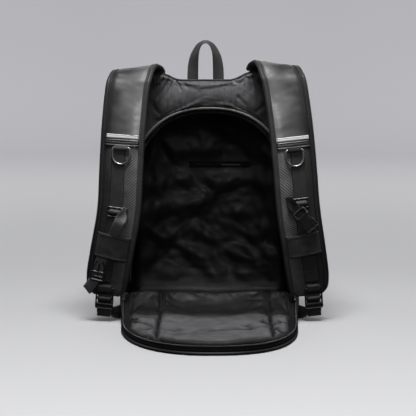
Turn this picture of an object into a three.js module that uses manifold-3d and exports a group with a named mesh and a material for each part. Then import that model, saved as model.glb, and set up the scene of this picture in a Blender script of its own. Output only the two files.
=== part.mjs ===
// A waterproof backpack standing open: its back is unzipped and folded down on the ground as a flap.
// Millimetres, +Z up. The wearer's side faces -Y, and the origin is the middle of the base.
// Left is -X and right is +X, as seen from the wearer's side.
import * as THREE from "three";
import { mergeVertices } from "three/addons/utils/BufferGeometryUtils.js";
import Module from "manifold-3d";

const wasm = await Module();
wasm.setup();
const { degToRad, lerp, smoothstep } = THREE.MathUtils;

// Driving dimensions
const gap = 0.3; // air between pieces that touch
const clothWall = 3; // padded cloth of the bag's sides and outer panel
const liningWall = 1.2;
const webbingThick = 1.6;
const webbingHalf = 12.5;
const webbingTop = webbingThick + 0.6; // its outer face above the strap
const sternumHalf = 10;

const bag = {
  harnessY: -110, // plane of the wearer's side
  backY: -107, // inner face of the back panel
  seamY: 92, // seam between the gusset and the outer panel
  lowerCorner: 26,
  upperCorner: 62,
  middleZ: 205, // height that the rings of the outer panel shrink towards
  saddle: 4, // rise of the top edge under the strap roots
};

const opening = { sillZ: 45, corner: 12, halfSill: 158, halfSpring: 154, springZ: 204, rise: 190, power: 2.36 };

const yoke = { bulge: 19, stripBulge: 3, fromZ: 300, toZ: 400 };

const flap = {
  hingeY: -114.4, // where the flap leaves the sill
  hingeTop: 50,
  hingeUnder: 36,
  straight: 108, // from the hinge to where its sides turn in
  noseDepth: 226,
  nosePowerLeft: 2.3, // the left corner is rounder than the right
  nosePowerRight: 2.7,
  half: 158,
  taper: 0.1, // share of its width that it loses from hinge to nose
  ramp: 74, // stretch that comes down from the sill to the ground
  rim: 13,
  crown: 17,
  crownWide: 34, // width over which the edge rises to the crown
  zipTop: 16,
  liningThick: 1.5,
  puff: 4, // swelling of the lining between its sewn channels
  seamLeft: -0.58, // sewn channels of its lining, as shares of half the width
  seamRight: 0.7,
};

const piping = { bag: 1.9, flap: 2.9, sides: 3 };

const ring = { half: 15.5, straight: 14, wire: 2, lift: 4.7, across: 0, barZ: { left: 325, right: 321 } };

const keeper = {
  left: { z: 146, tall: 44 },
  right: { z: 150, tall: 39 },
  share: 0.79, // of the strap's width, between its bindings
  edgeLift: 0.5,
  middleLift: 7.3,
  thick: 1.5,
};

const prongThick = 4.6;
const socket = { thick: 9.6, mouthWide: 21, mouthDeep: 20, mouthTall: 6.8 };

const lock = {
  wide: 33,
  tall: 42,
  thick: 4.5,
  bar: 5,
  rail: 4, // width of its sides
  tabHalf: 11,
  hangsFrom: { z: 62, left: 2, right: 7, lift: 3.2 }, // place on the strap's lower end
  drop: 14, // its middle below that place
};

const slider = {
  halfWide: 14.5,
  halfTall: 10,
  thick: 3.2,
  slots: [-4.4, 4.4], // heights of its two slots
  slotHalfWide: 11.5,
  slotHalfTall: 2,
  eye: { halfWide: 5, halfTall: 7.5, rail: 2.5, aside: 18, up: 2 },
};

// The bag's outline at stations through its depth: half its width at the base and the top, and its height
const stations = [
  { y: -106.7, halfBase: 164, halfTop: 157, top: 441, bottom: 0 },
  { y: -55, halfBase: 167, halfTop: 160, top: 438, bottom: 0 },
  { y: 0, halfBase: 168, halfTop: 160, top: 433, bottom: 0 },
  { y: 55, halfBase: 166, halfTop: 156, top: 421, bottom: 0 },
  { y: 92, halfBase: 160, halfTop: 149, top: 405, bottom: 5 },
];

// Rings of the domed outer panel: share of the seam outline and place in depth, outside and inside
const domeRings = [
  { share: 1, y: 92.3, innerShare: 0.98, innerY: 92.3 },
  { share: 0.97, y: 104, innerShare: 0.95, innerY: 101.5 },
  { share: 0.88, y: 114, innerShare: 0.87, innerY: 111 },
  { share: 0.68, y: 121, innerShare: 0.675, innerY: 118 },
  { share: 0.38, y: 125, innerShare: 0.378, innerY: 122 },
  { share: 0, y: 126, innerShare: 0, innerY: 123 },
];

// Rings of the lining's far wall, inside the dome
const liningRings = [
  { share: 0.92, y: 101 },
  { share: 0.85, y: 107.5 },
  { share: 0.66, y: 114.5 },
  { share: 0.37, y: 118.5 },
  { share: 0, y: 119.5 },
];

// Gathers of the yoke: where they run, how deep and how wide they are
const yokeFolds = [
  { x: -86, depth: 3, wide: 9 },
  { x: -62, depth: 2.4, wide: 8 },
  { x: -30, depth: 1.4, wide: 10 },
  { x: 8, depth: 1.2, wide: 12 },
  { x: 44, depth: 1.6, wide: 10 },
  { x: 74, depth: 3, wide: 9 },
];

// A shoulder strap from its root at the top seam to its lower end: the middle of each section on the +X
// side, how far its outer edge is raised (degrees) and set back, half its width and its thickness
const strapSections = [
  { x: 105, y: -98, z: 448, lean: 0, back: 0, half: 33, thick: 6 },
  { x: 113, y: -108, z: 460, lean: -5, back: 0, half: 35, thick: 9 },
  { x: 123, y: -128, z: 466, lean: -8, back: 0, half: 37, thick: 11 },
  { x: 130, y: -150, z: 464, lean: -8, back: 2, half: 38, thick: 12 },
  { x: 136, y: -167, z: 452, lean: -5, back: 5, half: 38, thick: 12 },
  { x: 141.7, y: -178, z: 431, lean: -1, back: 7, half: 38, thick: 12 },
  { x: 148.8, y: -188, z: 371, lean: 5, back: 7, half: 38, thick: 12 },
  { x: 153, y: -190, z: 325, lean: 7, back: 7, half: 38, thick: 12 },
  { x: 157, y: -190, z: 270, lean: 6, back: 7, half: 38, thick: 12 },
  { x: 159.7, y: -188, z: 230, lean: 7, back: 7, half: 38, thick: 12 },
  { x: 164, y: -184, z: 193, lean: 8, back: 6, half: 38, thick: 12 },
  { x: 170.3, y: -177, z: 156, lean: 9, back: 6, half: 38, thick: 12 },
  { x: 176, y: -168, z: 122, lean: 9, back: 6, half: 38, thick: 12 },
  { x: 181.5, y: -158, z: 89, lean: 9, back: 6, half: 37.5, thick: 11 },
  { x: 184, y: -150, z: 62, lean: 8, back: 4, half: 34, thick: 9 },
  { x: 185, y: -147, z: 50, lean: 8, back: 2, half: 22, thick: 7 },
];
const strapCrest = 3; // section from which the strap runs down the front
const strapRows = 24; // rows of faces along it
const strapEdge = 0.42; // thickness at the edge as a share of the middle
const strapColumns = [-1, -0.86, -0.5, 0, 0.5, 0.86, 1];

// The two straps don't sit quite alike: at the crest one is further out and lower than the other, and
// their lower ends swing a little to one side
const sides = {
  left: { sign: -1, outward: 7, raised: -3.5, swing: 4.5 },
  right: { sign: 1, outward: -7, raised: 3.5, swing: -2 },
};

// The grab handle's webbing: the middle of each section and how far it has turned about the vertical
const handle = { y: -103, half: 10, thick: 1.8 };
const handleSections = [
  { x: -31, z: 443, turn: 0 },
  { x: -31, z: 465, turn: 0 },
  { x: -30, z: 482, turn: -8 },
  { x: -27.2, z: 495, turn: -25 },
  { x: -22, z: 505, turn: -52 },
  { x: -15, z: 511.3, turn: -76 },
  { x: -7.3, z: 513.4, turn: -90 },
  { x: 0.4, z: 511.3, turn: -104 },
  { x: 7.4, z: 505, turn: -128 },
  { x: 12.8, z: 495, turn: -155 },
  { x: 15.4, z: 482, turn: -172 },
  { x: 16.3, z: 465, turn: -180 },
  { x: 16.5, z: 443, turn: -180 },
];

// Where the chest strap's pieces lie on each strap: heights, places across it (outwards), the height of the
// webbing over the strap's own webbing, and the turn of the buckle in the strap's face
const sternum = {
  left: {
    sliderZ: 209,
    sliderAcross: 6,
    buckleZ: 100,
    buckleAcross: 17,
    buckleTurn: 0,
    buckleLift: 0,
    webbing: [
      { z: 219, across: -13, over: 4.8 },
      { z: 206, across: -10, over: 4.8 },
      { z: 190, across: -4.5, over: 2.4 },
      { z: 170, across: 1, over: 0 },
      { z: 146, across: 8, over: 0 },
      { z: 122, across: 15, over: 0 },
      { z: 88, across: 19, over: 0 },
      { z: 73, across: 26.5, over: 0 },
      { z: 58, across: 33, over: 0 },
    ],
  },
  right: {
    sliderZ: 225,
    sliderAcross: 5,
    buckleZ: 197.5,
    buckleAcross: 8,
    buckleTurn: 147,
    buckleLift: 3.4,
    webbing: [
      { z: 239, across: -16.5, over: 4.6 },
      { z: 230, across: -14.5, over: 4.6 },
      { z: 222, across: -11, over: 4.8 },
      { z: 214.5, across: -4.5, over: 3.6 },
    ],
  },
};

const finishes = {
  coatedCloth: { color: 0x2a2a2c, roughness: 0.5, metalness: 0 },
  shellCloth: { color: 0x1d1d1f, roughness: 0.55, metalness: 0 },
  liningCloth: { color: 0x161617, roughness: 0.42, metalness: 0 },
  strapCloth: { color: 0x262627, roughness: 0.6, metalness: 0 },
  webbing: { color: 0x1b1b1c, roughness: 0.7, metalness: 0 },
  elastic: { color: 0x202021, roughness: 0.75, metalness: 0 },
  reflective: { color: 0xd9dad8, roughness: 0.4, metalness: 0 },
  greyPiping: { color: 0x6d6d6c, roughness: 0.6, metalness: 0 },
  darkPiping: { color: 0x333334, roughness: 0.55, metalness: 0 },
  zipTape: { color: 0x232324, roughness: 0.6, metalness: 0 },
  plastic: { color: 0x1a1a1b, roughness: 0.35, metalness: 0 },
  gunmetal: { color: 0x4a4a4c, roughness: 0.3, metalness: 1 },
};

const pack = new THREE.Group();

const point = (x, y, z) => new THREE.Vector3(x, y, z);

// Adds a named piece with its own material to the pack or to a group inside it.
function addPiece(name, geometry, finish, parent = pack) {
  const piece = new THREE.Mesh(geometry, new THREE.MeshStandardMaterial(finishes[finish]));
  piece.name = name;
  parent.add(piece);
}

// A closed geometry from points and corner triples: equal points are shared, triangles without area
// are dropped, and the faces are turned to point out.
function closedGeometry(points, triangles) {
  const shared = new Map();
  const kept = [];
  const place = points.map((p) => {
    const key = [p.x, p.y, p.z].map((value) => Math.round(value * 1e4)).join();
    if (!shared.has(key)) shared.set(key, kept.push(p) - 1);
    return shared.get(key);
  });
  let volume = 0;
  const index = [];
  for (const triangle of triangles) {
    const [a, b, c] = triangle.map((corner) => place[corner]);
    if (a === b || b === c || c === a) continue;
    volume += kept[a].dot(point(0, 0, 0).crossVectors(kept[b], kept[c]));
    index.push(a, b, c);
  }
  if (volume < 0) index.reverse();
  const geometry = new THREE.BufferGeometry().setFromPoints(kept);
  geometry.setIndex(index);
  return geometry;
}

// A wall between two grids of points, closed along its edges. A ring's rows run round and meet.
function wall(front, back, { ring: round = false } = {}) {
  const rows = front.length;
  const columns = front[0].length;
  const last = round ? columns : columns - 1;
  const at = (face, row, column) => (face * rows + row) * columns + (column % columns);
  const triangles = [];
  const quad = (a, b, c, d) => triangles.push([a, b, c], [a, c, d]);
  for (let j = 0; j < last; j += 1) {
    for (let i = 0; i < rows - 1; i += 1) {
      quad(at(0, i, j), at(0, i, j + 1), at(0, i + 1, j + 1), at(0, i + 1, j));
      quad(at(1, i, j), at(1, i + 1, j), at(1, i + 1, j + 1), at(1, i, j + 1));
    }
    quad(at(0, 0, j), at(1, 0, j), at(1, 0, j + 1), at(0, 0, j + 1));
    quad(at(0, rows - 1, j), at(0, rows - 1, j + 1), at(1, rows - 1, j + 1), at(1, rows - 1, j));
  }
  for (let i = 0; i < rows - 1 && !round; i += 1) {
    quad(at(0, i, 0), at(0, i + 1, 0), at(1, i + 1, 0), at(1, i, 0));
    quad(at(0, i, last), at(1, i, last), at(1, i + 1, last), at(0, i + 1, last));
  }
  return closedGeometry([...front.flat(), ...back.flat()], triangles);
}

// A strip of webbing along a path, with its width along the given directions.
function ribbon(path, across, half, thick) {
  const front = [];
  const back = [];
  path.forEach((middle, i) => {
    const ahead = path[Math.min(i + 1, path.length - 1)].clone().sub(path[Math.max(i - 1, 0)]).normalize();
    const wide = across[i].clone().addScaledVector(ahead, -across[i].dot(ahead)).normalize();
    const out = point(0, 0, 0).crossVectors(ahead, wide);
    const edges = [-half, half].map((reach) => middle.clone().addScaledVector(wide, reach));
    front.push(edges.map((edge) => edge.clone().addScaledVector(out, thick / 2)));
    back.push(edges.map((edge) => edge.clone().addScaledVector(out, -thick / 2)));
  });
  return wall(front, back);
}

// A smooth run through the values of a table's column.
function spline(values, t) {
  const i = Math.min(Math.floor(t), values.length - 2);
  const f = t - i;
  const b = values[i];
  const c = values[i + 1];
  const a = values[Math.max(i - 1, 0)];
  const d = values[Math.min(i + 2, values.length - 1)];
  const bend = (2 * a - 5 * b + 4 * c - d) * f * f;
  const twist = (3 * b - a - 3 * c + d) * f * f * f;
  return 0.5 * (2 * b + (c - a) * f + bend + twist);
}

const steps = (count) => Array.from({ length: count }, (_, k) => k / count);
const spread = (from, to, count) => Array.from({ length: count + 1 }, (_, k) => lerp(from, to, k / count));

// Points along each stretch of half an outline, from the middle of the base to the middle of the top
const fine = { base: 4, lower: 3, side: 6, upper: 8, top: 9 };
const coarse = { base: 2, lower: 3, side: 3, upper: 5, top: 4 };

// Mirrors half an outline to a whole one, which starts at the middle of the base and runs by +X.
function mirrored(half) {
  const other = half.slice(1, -1).reverse();
  return [...half, ...other.map(([x, z]) => [-x, z])];
}

// The bag's outline at a station, or one set in by its wall.
function bagOutline(station, counts, inset = 0) {
  const lower = bag.lowerCorner - inset;
  const upper = bag.upperCorner - inset;
  const halfBase = station.halfBase - inset;
  const halfTop = station.halfTop - inset;
  const floor = station.bottom + inset;
  const top = station.top - inset;
  const half = steps(counts.base).map((f) => [f * (halfBase - lower), floor]);
  for (const f of steps(counts.lower)) {
    const turn = (f * Math.PI) / 2;
    half.push([halfBase - lower * (1 - Math.sin(turn)), floor + lower * (1 - Math.cos(turn))]);
  }
  for (const f of steps(counts.side)) {
    half.push([lerp(halfBase, halfTop, f), lerp(floor + lower, top - upper, f)]);
  }
  for (const f of steps(counts.upper)) {
    const turn = (f * Math.PI) / 2;
    half.push([halfTop - upper * (1 - Math.cos(turn)), top - upper * (1 - Math.sin(turn))]);
  }
  for (const x of spread(halfTop - upper, 0, counts.top)) {
    half.push([x, top]);
  }
  const front = smoothstep(-station.y, 20, -stations[0].y);
  return mirrored(half).map(([x, z]) => {
    const root = smoothstep(Math.abs(x), 45, 85) * (1 - smoothstep(Math.abs(x), 120, 150));
    const rise = smoothstep(z, top - upper, top) * root * bag.saddle * front;
    return point(x, station.y, z + rise);
  });
}

// The opening's outline in the back panel, or one set in from it: a sill, upright sides and an arch.
function openingOutline(counts, inset = 0) {
  const halfSill = opening.halfSill - inset;
  const halfSpring = opening.halfSpring - inset;
  const sill = opening.sillZ + inset;
  const half = steps(counts.base).map((f) => [f * (halfSill - opening.corner), sill]);
  for (const f of steps(counts.lower)) {
    const turn = (f * Math.PI) / 2;
    const x = halfSill - opening.corner * (1 - Math.sin(turn));
    half.push([x, sill + opening.corner * (1 - Math.cos(turn))]);
  }
  for (const f of steps(counts.side)) {
    half.push([lerp(halfSill, halfSpring, f), lerp(sill + opening.corner, opening.springZ, f)]);
  }
  for (const turn of spread(0, Math.PI / 2, counts.upper + counts.top)) {
    const x = halfSpring * Math.max(Math.cos(turn), 0) ** (2 / opening.power);
    const z = opening.springZ + (opening.rise - inset) * Math.sin(turn) ** (2 / opening.power);
    half.push([turn === Math.PI / 2 ? 0 : x, z]);
  }
  return mirrored(half);
}

const countOf = (counts) => 2 * (counts.base + counts.lower + counts.side + counts.upper + counts.top);

// The gusset runs up one side, over the top and down the other; the base panel closes it below.
function addGussetAndBase() {
  const total = countOf(coarse);
  const start = coarse.base + coarse.lower;
  const sideColumns = Array.from({ length: total - 2 * start + 1 }, (_, k) => start + k);
  const baseColumns = Array.from({ length: 2 * start + 1 }, (_, k) => (total - start + k) % total);
  const pick = (columns, inset, shift) =>
    stations.map((station) => {
      const outline = bagOutline(station, coarse, inset);
      const rows = columns.map((column) => outline[column].clone());
      for (const end of [rows[0], rows.at(-1)]) end.z = station.bottom + bag.lowerCorner + shift;
      return rows;
    });
  addPiece("gusset", wall(pick(sideColumns, 0, gap), pick(sideColumns, clothWall, gap)), "shellCloth");
  addPiece("base_panel", wall(pick(baseColumns, 0, 0), pick(baseColumns, clothWall, 0)), "shellCloth");
}

// A ring of the seam outline, shrunk towards the middle of the outer panel.
function shrunkRing(outline, share, y) {
  return outline.map((p) => point(p.x * share, y, lerp(bag.middleZ, p.z, share)));
}

function addOuterPanel() {
  const seam = bagOutline(stations.at(-1), coarse);
  const outside = domeRings.map((row) => shrunkRing(seam, row.share, row.y));
  const inside = domeRings.map((row) => shrunkRing(seam, row.innerShare, row.innerY));
  addPiece("outer_panel", wall(outside, inside, { ring: true }), "shellCloth");
}

// The lining is a bag of its own inside the gusset, open at the back panel and closed at the dome.
function addLining() {
  const frontY = -103;
  const backY = 88;
  const layer = (inset, thinner, nearer) => {
    const rows = stations.map((station, i) => {
      const y = i === 0 ? frontY : Math.min(station.y, backY);
      return bagOutline({ ...station, y }, coarse, inset);
    });
    const seam = bagOutline(stations.at(-1), coarse);
    const rings = liningRings.map((row) => {
      return shrunkRing(seam, Math.max(row.share - thinner, 0), row.y - nearer);
    });
    return [...rows, ...rings];
  };
  const outside = layer(clothWall + 2 * gap, 0, 0);
  const inside = layer(clothWall + 2 * gap + liningWall, 0.008, liningWall);
  addPiece("lining", wall(outside, inside, { ring: true }), "liningCloth");
}

// The back panel fills the wearer's side around the opening. Over the arch it swells to a padded yoke.
function addBackPanel() {
  const inner = openingOutline(fine);
  const outer = bagOutline(stations[0], fine);
  const shares = [0, 0.1, 0.35, 0.65, 0.92, 1];
  const swell = (share, x, z) => {
    const high = smoothstep(z, yoke.fromZ, yoke.toZ);
    const folds = yokeFolds.reduce((sum, fold) => {
      return sum + fold.depth * Math.exp(-(((x - fold.x) / fold.wide) ** 2));
    }, 0);
    const arc = Math.sin(Math.PI * share) ** 0.6;
    return arc * lerp(yoke.stripBulge, yoke.bulge - folds, high);
  };
  const front = shares.map((share) =>
    outer.map((p, j) => {
      const x = lerp(inner[j][0], p.x, share);
      const z = lerp(inner[j][1], p.z, share);
      return point(x, bag.harnessY - swell(share, x, z), z);
    }),
  );
  const back = front.map((row) => row.map((p) => point(p.x, bag.backY, p.z)));
  addPiece("back_panel", wall(front, back, { ring: true }), "coatedCloth");
}

// A round cord sewn along a path.
function pipingAlong(path, radius, count) {
  const section = new THREE.Shape().absarc(0, 0, radius, 0, 2 * Math.PI);
  const extrudePath = new THREE.CatmullRomCurve3(path);
  return new THREE.ExtrudeGeometry(section, { steps: count, curveSegments: piping.sides, extrudePath });
}

// The part of an outline above the sill: one side, the arch and the other side.
function overArch(outline) {
  const start = fine.base + fine.lower;
  return outline.slice(start, outline.length - start + 1);
}

function addOpeningTrim() {
  const pipingInset = piping.bag + gap;
  const path = overArch(openingOutline(fine, pipingInset));
  const middleY = bag.harnessY + piping.bag - 0.9;
  const cord = pipingAlong(path.map(([x, z]) => point(x, middleY, z)), piping.bag, 34);
  addPiece("opening_piping", cord, "greyPiping");
  const tapeEdges = [0.8, 9.5].map((inset) => overArch(openingOutline(fine, inset)));
  const tape = (y) => tapeEdges.map((edge) => edge.map(([x, z]) => point(x, y, z)));
  addPiece("opening_zip", wall(tape(bag.backY + 0.5), tape(bag.backY + 2.3)), "zipTape");
}

// How far the flap's outline reaches from the hinge at a share of its half width, set out by some width.
function flapReach(v, outset = 0) {
  const power = v < 0 ? flap.nosePowerLeft : flap.nosePowerRight;
  const nose = Math.max(1 - Math.abs(v) ** power, 0) ** (1 / power);
  return flap.straight + (flap.noseDepth + outset) * nose;
}

// How far the flap has come down from the sill to the ground, from 0 to 1.
const flapDown = (reach) => smoothstep(reach, 0, flap.ramp);

// What the flap's width is worth at a distance from the hinge.
const flapTaper = (reach) => 1 - (flap.taper * reach) / (flap.straight + flap.noseDepth);

// The flap's upper face at a row: rows run straight across up to the nose, then close up towards it.
function flapTop(v, row, lift = 0) {
  const noseReach = flapReach(v) - flap.straight;
  const reach = row.reach + row.nose * noseReach;
  const inside = Math.min((1 - Math.abs(v)) * flap.half, (1 - row.nose) * (noseReach + flap.crownWide));
  const height = lerp(flap.rim, flap.crown, smoothstep(inside, 0, flap.crownWide));
  const z = lerp(flap.hingeTop + height - flap.crown, height, flapDown(reach));
  return point(v * flap.half * flapTaper(reach), flap.hingeY - reach, z + lift);
}

function flapUnder(v, row) {
  const top = flapTop(v, row);
  top.z = lerp(flap.hingeUnder, 0, flapDown(flap.hingeY - top.y));
  return top;
}

// Columns close up towards the sides, where the flap's outline turns.
const flapColumns = spread(-1, 1, 16).map((f) => Math.sin((f * Math.PI) / 2));
const straightRows = spread(0, flap.straight, 7).map((reach) => ({ reach, nose: 0 }));
const noseRows = [0.25, 0.5, 0.75, 0.93, 1].map((nose) => ({ reach: flap.straight, nose }));
const flapRows = [...straightRows, ...noseRows];

// The flap's edge from the hinge round the nose to the hinge, set out from its outline, at a height
// above the flap's underside.
function flapEdge(outset, height) {
  const side = straightRows.slice(1, -1).map((row) => row.reach);
  const wide = flap.half + outset;
  const plan = [
    ...side.map((reach) => [-wide, reach]),
    ...flapColumns.map((v) => [v * wide, flapReach(v, outset)]),
    ...side.reverse().map((reach) => [wide, reach]),
  ];
  return plan.map(([x, reach]) => {
    const under = lerp(flap.hingeUnder, 0, flapDown(reach));
    return point(x * flapTaper(reach), flap.hingeY - reach, under + height);
  });
}

function addFlap() {
  const grid = (surface) => flapRows.map((row) => flapColumns.map((v) => surface(v, row)));
  addPiece("flap", wall(grid(flapTop), grid(flapUnder)), "coatedCloth");
  const columns = flapColumns.slice(2, -2);
  const rows = flapRows.slice(1, -1);
  const quilt = (v, i) => {
    const seams = [flap.seamLeft, flap.seamRight].map((seam) => Math.exp(-(((v - seam) / 0.08) ** 2)));
    const puff = Math.sin((Math.PI * (i + 0.5)) / rows.length) ** 0.4 * (1 - (v / 0.9) ** 6);
    return flap.liningThick + flap.puff * puff * (1 - Math.max(...seams));
  };
  const lining = (lift) => rows.map((row, i) => columns.map((v) => flapTop(v, row, lift(v, i))));
  addPiece("flap_lining", wall(lining(quilt), lining(() => gap)), "liningCloth");
}

// The zip stands along the flap's edge, above a rolled piping that lies on the ground.
function addFlapTrim() {
  const [tapeLow, tapeHigh] = [2 * piping.flap + 5 * gap, flap.zipTop];
  const tape = (outset) => [tapeLow, tapeHigh].map((height) => flapEdge(outset, height));
  addPiece("flap_zip", wall(tape(gap + 1.8), tape(gap)), "zipTape");
  const path = flapEdge(piping.flap + 2 * gap, piping.flap + gap);
  addPiece("flap_piping", pipingAlong(path, piping.flap, 40), "darkPiping");
}

// The frame of a strap's section: its middle, the directions along, across (outwards) and out of its face.
function strapSection(side, t) {
  const { sign, outward, raised, swing } = sides[side];
  const column = (name, at) => spline(strapSections.map((section) => section[name]), at);
  const middleAt = (at) => {
    const z = column("z", at);
    const fade = (z / strapSections[strapCrest].z) ** 2;
    const aside = outward * fade + swing * (1 - smoothstep(z, 60, 230));
    return point(sign * (column("x", at) + aside), column("y", at), z + raised * fade);
  };
  const end = strapSections.length - 1;
  const middle = middleAt(t);
  const along = middleAt(Math.min(t + 0.02, end)).sub(middleAt(Math.max(t - 0.02, 0))).normalize();
  const lean = degToRad(column("lean", t));
  const half = column("half", t);
  const across = point(sign * Math.cos(lean), column("back", t) / (2 * half), Math.sin(lean));
  across.addScaledVector(along, -across.dot(along)).normalize();
  const out = point(0, 0, 0).crossVectors(along, across).multiplyScalar(sign);
  return { middle, along, across, out, half, thick: column("thick", t) };
}

// The section of the strap's front stretch whose middle is at a height.
function strapAt(side, z) {
  let low = strapCrest;
  let high = strapSections.length - 1;
  for (let k = 0; k < 30; k += 1) {
    const t = (low + high) / 2;
    if (strapSection(side, t).middle.z > z) low = t;
    else high = t;
  }
  return strapSection(side, low);
}

// A point on a strap's face (1 front, -1 back): v across it from -1 inside to 1 outside, raised by lift.
function onSection(section, v, lift = 0, face = 1) {
  const pad = (section.thick / 2) * (strapEdge + (1 - strapEdge) * (1 - v ** 4));
  const reach = v * (section.half + lift * Math.abs(v) ** 5);
  return section.middle.clone()
    .addScaledVector(section.across, reach)
    .addScaledVector(section.out, face * (pad + lift));
}

// A group whose X runs along +X across the strap, Y up the strap and Z out of its face.
function onStrap(side, z, across, lift) {
  const section = strapAt(side, z);
  const group = new THREE.Group();
  const x = section.across.clone().multiplyScalar(sides[side].sign);
  const y = section.along.clone().negate();
  group.matrix.makeBasis(x, y, section.out);
  group.quaternion.setFromRotationMatrix(group.matrix);
  group.position.copy(onSection(section, across / section.half, lift));
  group.updateMatrix();
  pack.add(group);
  return group;
}

function addStrap(side) {
  const sections = spread(0, strapSections.length - 1, strapRows);
  const face = (which) => sections.map((t) => {
    const section = strapSection(side, t);
    return strapColumns.map((v) => onSection(section, v, 0, which));
  });
  addPiece(`strap_${side}`, wall(face(1), face(-1)), "strapCloth");
}

// A band across a strap's face: heights with the lift of its outer face at each.
function strapBand(side, rows, share) {
  const columns = strapColumns.map((v) => v * share);
  const layer = (liftOf) => rows.map((row) => {
    const section = strapAt(side, row.z);
    return columns.map((v) => onSection(section, v, liftOf(row)));
  });
  return wall(layer((row) => row.lift), layer(() => gap));
}

function addStrapBands(side) {
  const bar = ring.barZ[side];
  const reflector = [bar + 16.5, bar + 24].map((z) => ({ z, lift: 1.1 }));
  addPiece(`reflector_${side}`, strapBand(side, reflector, 0.79), "reflective");
  const hem = [
    { z: bar + 2.6, lift: 1.4 },
    { z: bar + 4.5, lift: 2.8 },
    { z: bar + 7.5, lift: 1.5 },
    { z: bar + 10.5, lift: 2.4 },
    { z: bar + 13.5, lift: 1.2 },
  ];
  addPiece(`hem_band_${side}`, strapBand(side, hem, 0.8), "strapCloth");
}

// Points of a hairpin bend in the plane of Y and Z, round a bar along X, with a leg behind and in front.
function hairpin({ bendY, bendZ, radius, opens, backEnd, frontEnd }) {
  const bend = spread(-90, 90, 6).map((degrees) => {
    const turn = degToRad(degrees);
    return point(0, bendY - opens * radius * Math.cos(turn), bendZ + radius * Math.sin(turn));
  });
  return [point(0, backEnd, bendZ - radius), ...bend, point(0, frontEnd, bendZ + radius)];
}

const alongX = (path) => path.map(() => point(1, 0, 0));

// The D-ring hangs from its bar in a loop of webbing that comes out from under the hem band.
function addRing(side) {
  const group = onStrap(side, ring.barZ[side], ring.across, ring.lift);
  const corner = 4;
  const bow = spread(0, Math.PI, 8).map((turn) => {
    return point(ring.half * Math.cos(turn), -ring.straight - ring.half * Math.sin(turn), 0);
  });
  const bend = [0.3, 1].map((share) => share * corner);
  const outline = [
    ...spread(-1, 1, 2).map((share) => point(share * (ring.half - corner), 0, 0)),
    point(ring.half - bend[0], -bend[0], 0),
    point(ring.half, -bend[1], 0),
    ...bow,
    point(-ring.half, -bend[1], 0),
    point(bend[0] - ring.half, -bend[0], 0),
  ];
  const curve = new THREE.CatmullRomCurve3(outline, true);
  addPiece(`d_ring_${side}`, new THREE.TubeGeometry(curve, 30, ring.wire, 6, true), "gunmetal", group);
  const tabRadius = ring.wire + gap + webbingThick / 2 + 0.1;
  const tab = hairpin({ bendY: 0, bendZ: 0, radius: tabRadius, opens: 1, backEnd: 2.2, frontEnd: 2.2 });
  addPiece(`ring_tab_${side}`, ribbon(tab, alongX(tab), 10.5, webbingThick), "webbing", group);
}

// The webbing down the middle of the strap, from below the ring to the ladder lock.
function addStrapWebbing(side) {
  const shift = 5;
  const path = [];
  const across = [];
  for (const z of spread(ring.barZ[side] - 8, 86, 16)) {
    const section = strapAt(side, z);
    path.push(onSection(section, shift / section.half, webbingTop - webbingThick / 2));
    across.push(section.across);
  }
  addPiece(`strap_webbing_${side}`, ribbon(path, across, webbingHalf, webbingThick), "webbing");
}

// The elastic keeper is sewn in at both bindings and goes over the webbings on the strap's face.
function addKeeper(side) {
  const { z: middle, tall } = keeper[side];
  const heights = spread(middle + tall / 2, middle - tall / 2, 4);
  const layer = (extra) => heights.map((z) => {
    const section = strapAt(side, z);
    return strapColumns.map((v) => {
      const lift = lerp(keeper.middleLift, keeper.edgeLift, v ** 6) + extra;
      return onSection(section, v * keeper.share, lift);
    });
  });
  addPiece(`keeper_${side}`, wall(layer(keeper.thick), layer(0)), "elastic");
}

const shapeOf = (corners) => new THREE.Shape(corners.map(([x, y]) => new THREE.Vector2(x, y)));
const mirrorCorners = (right) => [...right, ...right.slice().reverse().map(([x, y]) => [-x, y])];
const boxCorners = (x0, y0, x1, y1) => [[x0, y0], [x1, y0], [x1, y1], [x0, y1]];

// A flat plate of an outline with holes, its middle at Z 0.
function plate(corners, holes, thick) {
  const shape = shapeOf(corners);
  shape.holes = holes.map((hole) => shapeOf(hole));
  const geometry = new THREE.ExtrudeGeometry(shape, { depth: thick, bevelEnabled: false });
  return geometry.translate(0, 0, -thick / 2);
}

// A rectangle with cut corners.
function cutRectangle(halfWide, halfTall, cut) {
  return mirrorCorners([
    [halfWide - cut, -halfTall],
    [halfWide, -halfTall + cut],
    [halfWide, halfTall - cut],
    [halfWide - cut, halfTall],
  ]);
}

function toSolid(geometry) {
  const bare = geometry.clone();
  bare.deleteAttribute("normal");
  bare.deleteAttribute("uv");
  const merged = mergeVertices(bare, 1e-4);
  const vertProperties = new Float32Array(merged.attributes.position.array);
  const triVerts = new Uint32Array(merged.index.array);
  return new wasm.Manifold(new wasm.Mesh({ numProp: 3, vertProperties, triVerts }));
}

function toGeometry(solid) {
  const { vertProperties, triVerts } = solid.getMesh();
  const geometry = new THREE.BufferGeometry();
  geometry.setAttribute("position", new THREE.BufferAttribute(new Float32Array(vertProperties), 3));
  geometry.setIndex(Array.from(triVerts));
  return geometry;
}

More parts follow.
